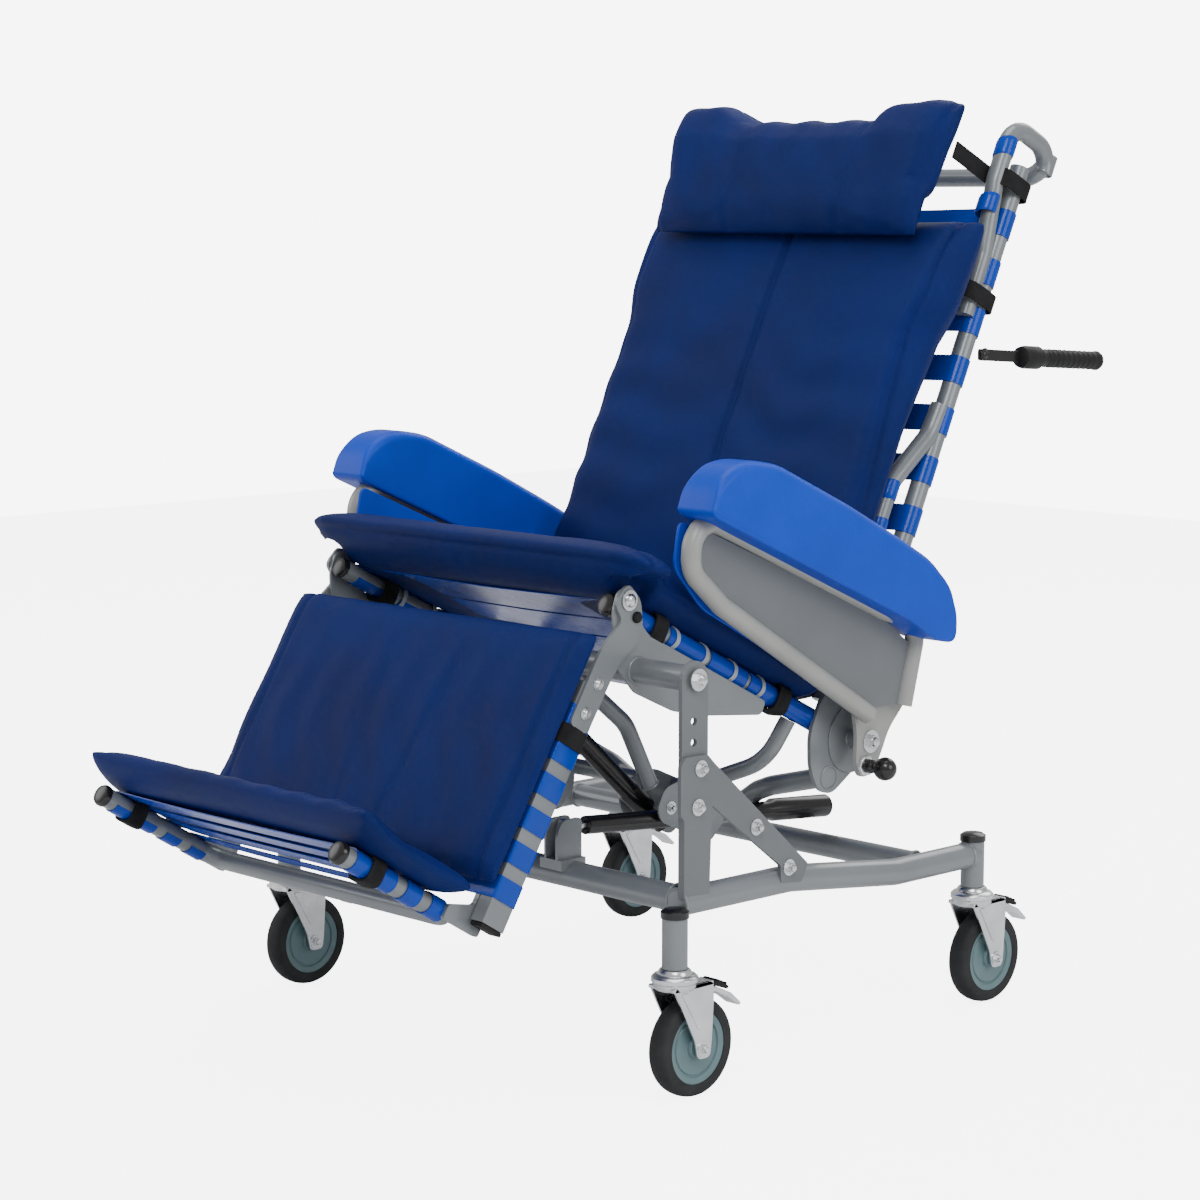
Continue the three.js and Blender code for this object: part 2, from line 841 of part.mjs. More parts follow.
// ---- back (local Y runs up the back, local Z faces the sitter) ----------------------------------
const lumbarSet = 58; // lumbar tubes in front of the back tubes
const bowA = -61; // the bowed tube's ends below the pivot
const bowH = 18.4;
const backTubeLow = 40;
const backTubeHigh = backTall - 60;
const backFat = (x) => bar([x, 20, 0], [x, backTubeHigh + 0.5, 0], backTube + 2 * GAP, 14);
function makeBackSide() {
  const lumbar = [
    [backTubeX, 30, lumbarSet],
    [backTubeX, backTall - 550, lumbarSet],
    [backTubeX, backTall - 462, 14],
    [backTubeX, backTall - 418, 10],
  ];
  const plate = outline(
    [
      [-20, 79],
      [-62, 58],
      [-84, 30],
      [-80, 4],
      [-52, -14],
      [-26, -30],
      [22, -32],
      [60, -12],
      [130, -2],
      [130, 20],
      [74, 40],
      [34, 78],
    ],
    10,
  );
  const outer = join(
    tube([[backTubeX, backTubeLow, 0], [backTubeX, backTubeHigh, 0]], backTube, 0, 1, 14),
    tube(lumbar, frameTube, 0, 60, 12),
    sheetX(plate, plateIn, plateOut),
  );
  const boreDia = backTube - 2 * frameWall;
  const boreTube = bar([backTubeX, backTubeLow - 5, 0], [backTubeX, backTubeHigh + 5, 0], boreDia, 8);
  return cut(outer, boreTube, pinThrough(plateIn - 5, plateOut + 5, 0, 0));
}
addPair("back_side", makeBackSide(), paint, back);

// Push bar: up the front of both back tubes, over the top and across behind them.
function makePushBar() {
  const half = [
    [backTubeX, backTall - 288, 16],
    [backTubeX, backTall - 198, 17],
    [backTubeX, backTall - 98, 41],
    [backTubeX, backTall - tubeR, 41],
    [backTubeX, backTall - tubeR, -50],
    [backTubeX, backTall - 50, -50],
  ];
  const line = [...half, ...half.toReversed().map(([x, a, h]) => [-x, a, h])];
  return cut(tube(line, frameTube, 0, 32, 12), backFat(backTubeX), backFat(-backTubeX));
}
add("push_bar", makePushBar(), paint, back);

// Bowed tube between the recline plates' lobes, with the ears for the recline lock.
const [backEyeA, backEyeH] = within(back, ...backEye);
function makeBowedTube() {
  const reach = plateIn - GAP;
  const line = [
    [reach + 20, bowA + 3, bowH + 2],
    [170, bowA - 22, bowH - 14],
    [140, bowA - 30, bowH - 24],
    [92, bowA - 54, bowH - 44],
    [-92, bowA - 54, bowH - 44],
    [-140, bowA - 30, bowH - 24],
    [-170, bowA - 22, bowH - 14],
    [-reach - 20, bowA + 3, bowH + 2],
  ];
  const ear = outline(
    [
      [backEyeA + 11, backEyeH + 11],
      [backEyeA - 11, backEyeH + 11],
      [backEyeA - 11, backEyeH - 32],
      [backEyeA + 11, backEyeH - 32],
    ],
    6,
  );
  const whole = join(tube(line, 27, 0, 50, 12), ...ears(backLockX, ear));
  const ends = [box(reach, reach + 60, bowA - 60, bowA + 60, bowH - 60, bowH + 60)];
  ends.push(box(-reach - 60, -reach, bowA - 60, bowA + 60, bowH - 60, bowH + 60));
  return cut(whole, ...ends);
}
add("bowed_tube", makeBowedTube(), paint, back);

const slingIn = backTubeX - backTube / 2 - 0.5;
add("back_sling", box(-slingIn, slingIn, 110, 800, -slingThick / 2, slingThick / 2), strapBlue, back);

const backPadBack = lumbarSet + tubeR + 1.3;
const backPadFront = backPadBack + backPadThick;
function makeBackCushion() {
  const profile = outline(
    [
      [78, backPadBack],
      [backPadTop, backPadBack],
      [backPadTop, backPadFront - 8],
      [backPadTop - 40, backPadFront],
      [120, backPadFront],
      [78, backPadFront - 10],
    ],
    6,
  );
  const wide = sheetX(profile, -backShoulderHalf, backShoulderHalf);
  const spare = [-1, 1].map((s) => {
    const side = new THREE.Shape([
      new THREE.Vector2(s * backPadHalf, 0),
      new THREE.Vector2(s * (backShoulderHalf + 40), 0),
      new THREE.Vector2(s * (backShoulderHalf + 40), 590),
      new THREE.Vector2(s * backShoulderHalf, 590),
      new THREE.Vector2(s * backPadHalf, 530),
    ]);
    return facingOut(new THREE.ExtrudeGeometry(side, { depth: 300, bevelEnabled: false }));
  });
  return cut(wide, ...spare);
}
add("back_cushion", makeBackCushion(), fabricBlue, back);

function makeHeadCushion() {
  const low = backPadFront + 2;
  const profile = outline(
    [
      [648, low],
      [backPadTop + 4, low],
      [backPadTop + 12, low - 18],
      [headPadTop, low - 18],
      [headPadTop, low + 46],
      [790, low + 72],
      [660, low + 52],
    ],
    8,
  );
  return sheetX(profile, -headPadHalf, headPadHalf);
}
add("head_cushion", makeHeadCushion(), fabricBlue, back);

// Bolted-on handle: a flat bar off the back tube and a round grip.
const handleTop = [686, 876];
const handleMid = [768, 870];
const handleEnd = [950, 858];
function makeHandle() {
  const reach = along(handleMid, handleEnd).dir;
  const side = [-reach[1] * 8, reach[0] * 8];
  const flat = outline(
    [
      [handleTop[0] + side[0], handleTop[1] + side[1]],
      [handleTop[0] - side[0], handleTop[1] - side[1]],
      [handleMid[0] + 20 - side[0], handleMid[1] - side[1] - 1],
      [handleMid[0] + 20 + side[0], handleMid[1] + side[1] - 1],
    ],
    4,
  );
  const x = backTubeX + backTube / 2 + GAP;
  const grip = bar([x + 2, ...handleMid], [x + 2, ...handleEnd], 23, 14);
  return join(sheetX(flat, x, x + 4), grip);
}
addPair("handle", makeHandle(), blackPlastic);

// ---- arms ---------------------------------------------------------------------------------------
const padSlope = (y) => 704 - 0.44 * (y - 79); // underside of the arm pad
const armLine = [
  [armX, 480, 424],
  [armX, 510, 536],
  [armX, 440, padSlope(440) + 8],
  [armX, 150, padSlope(150) + 8],
  [armX, 84, padSlope(84) + 6],
  [armX, 80, 636],
  [armX, 134, 588],
  [armX, 412, 420],
];
function makeArmFrame() {
  const loop = tube(armLine, frameTube, 0, 24, 12);
  const panel = outline(
    [
      [92, 690],
      [88, 645],
      [138, 594],
      [416, 428],
      [480, 428],
      [490, 506],
      [440, padSlope(440) - 3],
    ],
    4,
  );
  const plate = outline(
    [
      [396, 430],
      [412, 448],
      [496, 444],
      [498, 424],
      [466, 392],
      [452, 362],
      [434, 336],
      [408, 334],
      [402, 356],
      [404, 392],
    ],
    10,
  );
  const both = join(loop, sheetX(panel, armX - 1.5, armX + 1.5), sheetX(plate, armPlateIn, armPlateOut));
  const pinRoom = pivotPin + 2 * RUN;
  const pinHole = bar([armPlateIn - 2, reclineY, reclineZ], [armPlateOut + 2, reclineY, reclineZ], pinRoom, 16);
  const knobHole = bar([armPlateIn - 2, ...knobAt], [armPlateOut + 2, ...knobAt], 8 + 2 * RUN, 12);
  const headRoom = bar([armPlateOut, reclineY, reclineZ], [armX + 30, reclineY, reclineZ], 34, 20);
  return cut(both, pinHole, knobHole, headRoom);
}
const knobAt = [418, 350];
addPair("arm_frame", makeArmFrame(), paint);

const armLiner = outline(
  [
    [86, 694],
    [80, 640],
    [126, 594],
    [392, 436],
    [404, 452],
    [490, 450],
    [492, 504],
    [440, padSlope(440) - 5],
  ],
  6,
);
const linerRoom = 1.8; // liner to the arm tube
const linerOut = armX - tubeR - linerRoom;
addPair("arm_liner", sheetX(armLiner, armPadIn + 1, linerOut), padBlue);

// Moulded pad over the top of the arm, grooved underneath for the tube.
function makeArmPad() {
  const profile = outline(
    [
      [75, 711],
      [88, 742],
      [112, 763],
      [150, 770],
      [200, 762],
      [430, 664],
      [480, 632],
      [518, 590],
      [537, 540],
      [531, 506],
      [494, 513],
      [445, padSlope(445)],
      [79, padSlope(79)],
    ],
    10,
  );
  const groove = tube(armLine, frameTube + 2 * GAP + 0.6, 0, 24, 12);
  return cut(sheetX(profile, armPadIn, armPadOut), groove);
}
addPair("arm_pad", makeArmPad(), padBlue);

// Plunger with a ball knob that locks the arm to the disc.
const knob = turnedX(
  [
    [0, 0],
    [4, 0],
    [4, armPlateOut - armPlateIn + 2],
    [9, armPlateOut - armPlateIn + 2],
    [9, armPlateOut - armPlateIn + 16],
    [6, armPlateOut - armPlateIn + 18],
    [6, armPlateOut - armPlateIn + 22],
    [13, armPlateOut - armPlateIn + 26],
    [16, armPlateOut - armPlateIn + 36],
    [13, armPlateOut - armPlateIn + 46],
    [6, armPlateOut - armPlateIn + 51],
    [0, armPlateOut - armPlateIn + 52],
  ],
  armPlateIn + 0.2,
  ...knobAt,
  14,
);
addPair("arm_knob", knob, blackPlastic);

// ---- mechanical locks ---------------------------------------------------------------------------
// Body: a turned tube along the line from the eye to the trunnion, with its cross pin.
// Stations run from the eye; the bore is open at the eye's end.
function makeLock(name, x, eye, trunnion, shell) {
  const { length, dir } = along(eye, trunnion);
  const angle = Math.atan2(dir[1], dir[0]);
  const group = new THREE.Group();
  group.position.set(x, ...eye);
  group.rotation.x = angle;
  chair.add(group);
  const bore = lockRod / 2 + 0.8;
  const outer = shell.map(([r, s]) => [r, s]);
  const start = outer[0][1];
  const end = outer.at(-1)[1];
  const profile = [[bore, start], ...outer, [0, end], [0, end - 6], [bore, end - 6], [bore, start]];
  const points = profile.map(([r, s]) => new THREE.Vector2(r, s));
  const body = facingOut(new THREE.LatheGeometry(points, 16));
  const pinReach = shell.pinReach;
  const pins = bar([-pinReach, length, 0], [pinReach, length, 0], 9, 10);
  const boreEnd = end - 6;
  const boreRound = new THREE.CylinderGeometry(bore, bore, boreEnd - start, 16);
  const bodyBore = facingOut(boreRound.translate(0, (boreEnd + start) / 2, 0));
  add(name + "_body", cut(join(body, pins), bodyBore), blackPlastic, group);
  const rodEnd = shell.rodEnd;
  const rod = new THREE.CylinderGeometry(lockRod / 2, lockRod / 2, rodEnd, 12).translate(0, rodEnd / 2, 0);
  const eyeDisc = bar([-eyeWide / 2, 0, 0], [eyeWide / 2, 0, 0], 20, 16);
  add(name + "_rod", join(rod, eyeDisc), zinc, group);
}
const shellOf = (steps, pinReach, rodEnd) => Object.assign(steps, { pinReach, rodEnd });
const tiltSteps = [
  [12, 34],
  [12, 196],
  [14, 200],
  [14, 262],
  [12, 266],
  [12, 376],
  [15.5, 384],
  [15.5, 494],
];
makeLock(
  "tilt_lock",
  lockX,
  tiltEye,
  tiltTrunnion,
  shellOf(tiltSteps, 17.5, 380),
);
makeLock(
  "leg_lock",
  legLockX,
  legEye,
  legTrunnion,
  shellOf([[13, 60], [13, 240], [15, 244], [15, 285], [11, 290], [11, 330]], 13.5, 250),
);
makeLock(
  "recline_lock",
  backLockX,
  backEye,
  backTrunnion,
  shellOf([[12, 90], [12, 190], [14, 194], [14, 262], [12, 266], [12, 330]], 14.5, 190),
);

// ---- origin: the middle of the footprint, on the floor ------------------------------------------
chair.updateMatrixWorld(true);
const bounds = new THREE.Box3().setFromObject(chair, true);
chair.position.y = -(bounds.min.y + bounds.max.y) / 2;
chair.updateMatrixWorld(true);

export default chair;
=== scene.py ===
"""The looks of a patient recliner chair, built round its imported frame."""

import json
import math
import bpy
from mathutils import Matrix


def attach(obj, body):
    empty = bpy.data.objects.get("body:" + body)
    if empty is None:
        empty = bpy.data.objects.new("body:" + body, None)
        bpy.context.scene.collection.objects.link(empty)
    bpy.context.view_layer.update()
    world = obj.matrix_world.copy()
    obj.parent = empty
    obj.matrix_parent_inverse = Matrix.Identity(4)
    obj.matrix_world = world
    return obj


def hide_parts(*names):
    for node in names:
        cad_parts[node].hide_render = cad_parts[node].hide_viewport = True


bl_info = {
    "name": "Patient recliner chair",
    "version": (1, 0, 0),
    "blender": (4, 5, 0),
    "location": "View3D > Sidebar > Recliner",
    "description": "Builds the tubes, casters, straps, pads and cushions of a patient recliner",
    "category": "Add Mesh",
}

import bmesh
import bpy
import numpy as np

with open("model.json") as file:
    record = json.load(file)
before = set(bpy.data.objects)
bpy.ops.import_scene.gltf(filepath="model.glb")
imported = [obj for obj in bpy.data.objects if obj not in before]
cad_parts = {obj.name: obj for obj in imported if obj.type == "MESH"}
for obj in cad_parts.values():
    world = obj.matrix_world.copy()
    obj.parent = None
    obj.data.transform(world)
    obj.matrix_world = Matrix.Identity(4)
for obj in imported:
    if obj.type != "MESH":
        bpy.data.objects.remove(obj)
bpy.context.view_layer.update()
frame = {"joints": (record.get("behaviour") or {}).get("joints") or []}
JOINT = {joint["name"]: joint for joint in frame["joints"]}

MM = 0.001
TILT_Y, TILT_Z = 37.0, 513.0  # tilt pivot behind the front caster posts and above the floor, mm
SHIFT = JOINT["seat_tilt"]["pos_m"][1] - TILT_Y * MM

# ---- sizes shared by the pieces, mm ---------------------------------------------------------------
FRONT_X, REAR_X, WHEEL_BASE = 375.3, 340.7, 606.6
FRONT_RAIL_X, FRONT_RAIL_Z, REAR_RAIL_Z = FRONT_X - 13, 240.0, 208.0
FRONT_CROSS_Y, REAR_CROSS_Y = 33.0, 505.0
POST_LOW, POST_TOP = 164.6, 232.6
RAIL_R, POST_R, TUBE_R, BACK_R = 17.45, 15.875, 12.7, 13.5
SEAT_X, SEAT_DEPTH = 257.0, 476.3
LUMBAR_SET = 58.0
ARM_X, PAD_IN, PAD_OUT = 321.0, 301.0, 366.0
PLATE_IN, PLATE_OUT = 269.7, 275.7
ARM_PLATE_IN, ARM_PLATE_OUT = 303.5, 309.5
NECK_X = 142.0
FOOT_X = 233.4
KNEE_Y, KNEE_Z = 16.0, 602.0
SEAT_Y, SEAT_Z = 5.0, 595.0
LEG_TALL = 438.8

# ---- lock ends in the side view: the rod's eye and the body's trunnions, (y, z) mm ------------------
LOCK_X = 112.0
TILT_EYE, TILT_TRUNNION = (34, 299), (262, 280)
LEG_EYE, LEG_TRUNNION = (-3, 485), (196, 306)
RECLINE_EYE, RECLINE_TRUNNION = (375, 290), (134, 421)


class Slope:
    """A sloped part of the chair: local (x, a, h), with a up the slope and h standing off it."""

    def __init__(self, y, z, degrees):
        self.y, self.z = y, z
        self.c, self.s = math.cos(math.radians(degrees)), math.sin(math.radians(degrees))

    def out(self, points):
        """Local millimetres to the row frame in metres."""
        p = np.asarray(points, float)
        x, a, h = p[..., 0], p[..., 1], p[..., 2]
        y = self.y + a * self.c - h * self.s
        z = self.z + a * self.s + h * self.c
        return np.stack([x * MM, y * MM + SHIFT, z * MM], -1)

    def within(self, points):
        """Row frame metres to local millimetres."""
        p = np.asarray(points, float)
        y = (p[..., 1] - SHIFT) / MM - self.y
        z = p[..., 2] / MM - self.z
        return np.stack([p[..., 0] / MM, y * self.c + z * self.s, z * self.c - y * self.s], -1)

    def flat(self, y, z):
        """A side-view point (y, z) as local (a, h)."""
        dy, dz = y - self.y, z - self.z
        return dy * self.c + dz * self.s, dz * self.c - dy * self.s


SEAT_TILT, LEG_ANGLE, BACK_ANGLE = 26.8, 58.4, 64.4
BASE = Slope(0, 0, 0)
SEAT = Slope(SEAT_Y, SEAT_Z, -SEAT_TILT)
LEG = Slope(KNEE_Y, KNEE_Z, LEG_ANGLE)
BACK = Slope(SEAT_Y + SEAT_DEPTH * SEAT.c, SEAT_Z + SEAT_DEPTH * SEAT.s, BACK_ANGLE)
FOOT = Slope(KNEE_Y - LEG_TALL * LEG.c, KNEE_Z - LEG_TALL * LEG.s, LEG_ANGLE - 90)


# ---- surfaces: (points, faces) pairs ---------------------------------------------------------------
def grid_faces(rows, cols, close_cols=False, close_rows=False):
    """Quads of a rows x cols grid of points, joined up along either way if it closes."""
    r = np.arange(rows if close_rows else rows - 1)[:, None]
    c = np.arange(cols if close_cols else cols - 1)[None, :]
    r2, c2 = (r + 1) % rows, (c + 1) % cols
    quads = np.stack([r * cols + c, r * cols + c2, r2 * cols + c2, r2 * cols + c], -1)
    return quads.reshape(-1, 4).tolist()


def bend_route(corners, radius, turn=7.0):
    """Straight runs joined by arcs of the radius given, a station every few degrees of an arc."""
    points = np.asarray(corners, float)
    route = [points[0]]
    for before, here, after in zip(points, points[1:], points[2:]):
        u, v = here - before, after - here
        u, v = u / np.linalg.norm(u), v / np.linalg.norm(v)
        angle = math.acos(float(np.clip(u @ v, -1, 1)))
        if angle < 1e-4:
            continue
        start = here - u * radius * math.tan(angle / 2)
        inward = v - u * math.cos(angle)
        inward /= np.linalg.norm(inward)
        steps = max(2, math.ceil(math.degrees(angle) / turn))
        t = np.linspace(0, angle, steps + 1)[:, None]
        route.extend(start + radius * (np.sin(t) * u + (1 - np.cos(t)) * inward))
    route.append(points[-1])
    return np.array(route)


def sweep(route, section, caps=True):
    """A section of (across, over) points carried along a route, with the least twist from the start."""
    route = np.asarray(route, float)
    tangents = np.gradient(route, axis=0)
    tangents[0], tangents[-1] = route[1] - route[0], route[-1] - route[-2]
    tangents /= np.linalg.norm(tangents, axis=1, keepdims=True)
    seed = np.array([0, 0, 1.0]) if abs(tangents[0][2]) < 0.9 else np.array([1.0, 0, 0])
    normals = []
    for t in tangents:
        seed = seed - t * (seed @ t)
        seed = seed / np.linalg.norm(seed)
        normals.append(seed)
    normals = np.array(normals)
    sides = np.cross(tangents, normals)
    section = np.asarray(section, float)
    points = (
        route[:, None, :]
        + section[None, :, :1] * sides[:, None, :]
        + section[None, :, 1:] * normals[:, None, :]
    )
    rows, cols = len(route), len(section)
    faces = grid_faces(rows, cols, close_cols=True)
    if caps:
        faces.append(list(range(cols))[::-1])
        faces.append(list(range((rows - 1) * cols, rows * cols)))
    return points.reshape(-1, 3), faces


def circle(radius, sides=28):
    """A round section."""
    t = np.arange(sides) * 2 * np.pi / sides
    return np.stack([radius * np.cos(t), radius * np.sin(t)], -1)


def tube(corners, radius, bend=60.0, sides=28):
    """A round bar along bent straight runs."""
    return sweep(bend_route(corners, bend), circle(radius, sides))


def square_to(axis):
    """An axis as a unit direction, and two more that stand square to it and to each other."""
    axis = np.asarray(axis, float) / np.linalg.norm(axis)
    helper = np.array([0, 0, 1.0]) if abs(axis[2]) < 0.9 else np.array([1.0, 0, 0])
    u = np.cross(axis, helper)
    u /= np.linalg.norm(u)
    return axis, u, np.cross(axis, u)


def turned(profile, base, axis, segments=40):
    """A profile of (radius, height) spun about an axis through base; ends at radius 0 close it."""
    axis, u, w = square_to(axis)
    t = np.arange(segments) * 2 * np.pi / segments
    around = np.cos(t)[:, None] * u + np.sin(t)[:, None] * w
    profile = np.asarray(profile, float)
    points = (
        np.asarray(base, float)
        + profile[:, 1][:, None, None] * axis
        + profile[:, 0][:, None, None] * around[None]
    )
    return points.reshape(-1, 3), grid_faces(len(profile), segments, close_cols=True)


def rounded(corners, radius, steps=5):
    """A closed outline whose corners are turned into smooth parabolic rounds."""
    p = np.asarray(corners, float)
    before, after = np.roll(p, 1, 0), np.roll(p, -1, 0)
    d1 = np.linalg.norm(p - before, axis=1, keepdims=True)
    d2 = np.linalg.norm(after - p, axis=1, keepdims=True)
    trim = np.minimum(radius, np.minimum(d1, d2) / 2.01)
    start, end = p + (before - p) * trim / d1, p + (after - p) * trim / d2
    t = np.linspace(0, 1, steps + 1)[None, :, None]
    curve = (1 - t) ** 2 * start[:, None] + 2 * t * (1 - t) * p[:, None] + t**2 * end[:, None]
    return curve.reshape(-1, 2)


def plate(corners, x0, x1, radius=4.0, steps=5):
    """A flat sheet with a side-view outline, from x0 to x1."""
    edge = rounded(corners, radius, steps)
    n = len(edge)
    rows = [np.column_stack([np.full(n, x), edge]) for x in (x0, x1)]
    faces = grid_faces(2, n, close_cols=True)
    faces.append(list(range(n))[::-1])
    faces.append(list(range(n, 2 * n)))
    return np.concatenate(rows), faces


def merge(*shells):
    """Several shells as one."""
    points, faces, at = [], [], 0
    for p, f in shells:
        points.append(p)
        faces.extend([[i + at for i in face] for face in f])
        at += len(p)
    return np.concatenate(points), faces


def mirrored(shell):
    """The same shell on the other side of the chair, faces turned back outwards."""
    points, faces = shell
    return points * np.array([-1, 1, 1.0]), [face[::-1] for face in faces]


def mesh_object(name, shell, slope=BASE, sharp=38.0):
    """A shell in local millimetres as an object at the origin, outward and smooth between sharp edges."""
    points, faces = shell
    mesh = bpy.data.meshes.new(name)
    mesh.from_pydata(slope.out(points).tolist(), [], faces)
    work = bmesh.new()
    work.from_mesh(mesh)
    bmesh.ops.remove_doubles(work, verts=work.verts, dist=1e-6)
    bmesh.ops.dissolve_degenerate(work, edges=work.edges, dist=1e-7)
    bmesh.ops.recalc_face_normals(work, faces=work.faces)
    work.to_mesh(mesh)
    work.free()
    mesh.polygons.foreach_set("use_smooth", np.ones(len(mesh.polygons), bool))
    mesh.set_sharp_from_angle(angle=math.radians(sharp))
    thing = bpy.data.objects.new(name, mesh)
    bpy.context.scene.collection.objects.link(thing)
    return thing


def soften_edges(thing, width, segments=2):
    """Rounds a hard-edged piece's edges."""
    bevel = thing.modifiers.new("edge", "BEVEL")
    bevel.width = width * MM
    bevel.segments = segments
    bevel.limit_method = "ANGLE"
    bevel.angle_limit = math.radians(40)
    bevel.harden_normals = False


def put(name, shell, body, material, slot, slope=BASE, stands_for=(), bevel=0.0, segments=2):
    """Makes a piece, gives it its finish, and lets it ride on its body."""
    thing = mesh_object(name, shell, slope)
    if bevel:
        soften_edges(thing, bevel, segments)
    thing.data.materials.append(FINISH[material])
    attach(thing, body)
    if stands_for:
        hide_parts(*stands_for)
    return thing


def put_pair(name, shell, body, material, slot, slope=BASE, stands_for=(), **more):
    """The piece on both sides; a body or node name with {} takes the side's name."""
    for side, made in (("left", shell), ("right", mirrored(shell))):
        nodes = [node.format(side) for node in stands_for]
        put(f"{name}_{side}", made, body.format(side), material, slot, slope, nodes, **more)


# ---- materials -------------------------------------------------------------------------------------
FINISH = {}
GROUP = {}


def node_group(name, inputs, outputs):
    """An empty shader group with named sockets; inputs are (name, type, default)."""
    group = bpy.data.node_groups.new(name, "ShaderNodeTree")
    for label, kind, default in inputs:
        socket = group.interface.new_socket(label, in_out="INPUT", socket_type=kind)
        socket.default_value = default
    for label, kind in outputs:
        group.interface.new_socket(label, in_out="OUTPUT", socket_type=kind)
    return group, group.nodes.new("NodeGroupInput"), group.nodes.new("NodeGroupOutput")


def ramp_between(group, low, high):
    """A map range node from low..high to 0..1."""
    node = group.nodes.new("ShaderNodeMapRange")
    node.inputs["From Min"].default_value = low
    node.inputs["From Max"].default_value = high
    return node


def make_mottle_group():
    """Uneven colour and roughness in broad patches, with a fine grain for the bump."""
    group, source, sink = node_group(
        "Mottle",
        [
            ("Colour", "NodeSocketColor", (0.5, 0.5, 0.5, 1)),
            ("Shade", "NodeSocketColor", (0.4, 0.4, 0.4, 1)),
            ("Patch size", "NodeSocketFloat", 12.0),
            ("Roughness", "NodeSocketFloat", 0.5),
            ("Roughness change", "NodeSocketFloat", 0.1),
        ],
        [("Colour", "NodeSocketColor"), ("Roughness", "NodeSocketFloat"), ("Grain", "NodeSocketFloat")],
    )
    link = group.links.new
    place = group.nodes.new("ShaderNodeTexCoord")
    broad = group.nodes.new("ShaderNodeTexNoise")
    broad.inputs["Detail"].default_value = 4.0
    link(place.outputs["Object"], broad.inputs["Vector"])
    link(source.outputs["Patch size"], broad.inputs["Scale"])
    fine = group.nodes.new("ShaderNodeTexNoise")
    fine.inputs["Scale"].default_value = 420.0
    fine.inputs["Detail"].default_value = 2.0
    link(place.outputs["Object"], fine.inputs["Vector"])
    spread = ramp_between(group, 0.32, 0.68)
    link(broad.outputs["Fac"], spread.inputs["Value"])
    mix = group.nodes.new("ShaderNodeMix")
    mix.data_type = "RGBA"
    link(spread.outputs["Result"], mix.inputs["Factor"])
    link(source.outputs["Shade"], mix.inputs["A"])
    link(source.outputs["Colour"], mix.inputs["B"])
    link(mix.outputs["Result"], sink.inputs["Colour"])
    change = group.nodes.new("ShaderNodeMath")
    change.operation = "MULTIPLY_ADD"
    link(broad.outputs["Fac"], change.inputs[0])
    link(source.outputs["Roughness change"], change.inputs[1])
    link(source.outputs["Roughness"], change.inputs[2])
    link(change.outputs[0], sink.inputs["Roughness"])
    link(fine.outputs["Fac"], sink.inputs["Grain"])
    return group


def make_weave_group():
    """Plain weave: ribs across the chair crossed with ribs down its slope, as a height."""
    group, source, sink = node_group(
        "Plain weave",
        [("Threads", "NodeSocketFloat", 300.0), ("Wrinkle", "NodeSocketFloat", 0.5)],
        [("Height", "NodeSocketFloat")],
    )
    link = group.links.new
    place = group.nodes.new("ShaderNodeTexCoord")
    ribs = []
    for direction in ("X", "DIAGONAL"):
        wave = group.nodes.new("ShaderNodeTexWave")
        wave.bands_direction = direction
        wave.inputs["Distortion"].default_value = 0.4
        link(place.outputs["Object"], wave.inputs["Vector"])
        link(source.outputs["Threads"], wave.inputs["Scale"])
        ribs.append(wave)
    cross = group.nodes.new("ShaderNodeMath")
    cross.operation = "MULTIPLY"
    link(ribs[0].outputs["Fac"], cross.inputs[0])
    link(ribs[1].outputs["Fac"], cross.inputs[1])
    soft = group.nodes.new("ShaderNodeTexNoise")
    soft.inputs["Scale"].default_value = 26.0
    soft.inputs["Detail"].default_value = 5.0
    soft.inputs["Distortion"].default_value = 1.2
    link(place.outputs["Object"], soft.inputs["Vector"])
    total = group.nodes.new("ShaderNodeMath")
    total.operation = "MULTIPLY_ADD"
    link(soft.outputs["Fac"], total.inputs[0])
    link(source.outputs["Wrinkle"], total.inputs[1])
    link(cross.outputs[0], total.inputs[2])
    link(total.outputs[0], sink.inputs["Height"])
    return group


def darker(colour, share=0.86):
    """A colour with every channel cut to a share of itself."""
    return tuple(channel * share for channel in colour)


def finish(name, colour, shade, rough, change=0.12, metal=0.0, patch=12.0, grain=0.05, **fixed):
    """A material: mottled colour and roughness with a fine grain; fixed values go on the shader."""
    material = bpy.data.materials.new(name)
    material.use_nodes = True
    tree = material.node_tree
    shader = tree.nodes["Principled BSDF"]
    mottle = tree.nodes.new("ShaderNodeGroup")
    mottle.node_tree = GROUP["mottle"]
    mottle.inputs["Colour"].default_value = (*colour, 1)
    mottle.inputs["Shade"].default_value = (*shade, 1)
    mottle.inputs["Patch size"].default_value = patch
    mottle.inputs["Roughness"].default_value = rough
    mottle.inputs["Roughness change"].default_value = change
    bump = tree.nodes.new("ShaderNodeBump")
    bump.inputs["Strength"].default_value = grain
    bump.inputs["Distance"].default_value = 0.0006
    tree.links.new(mottle.outputs["Colour"], shader.inputs["Base Color"])
    tree.links.new(mottle.outputs["Roughness"], shader.inputs["Roughness"])
    tree.links.new(mottle.outputs["Grain"], bump.inputs["Height"])
    tree.links.new(bump.outputs["Normal"], shader.inputs["Normal"])
    shader.inputs["Metallic"].default_value = metal
    for socket, value in fixed.items():
        shader.inputs[socket].default_value = value
    FINISH[name] = material
    return material


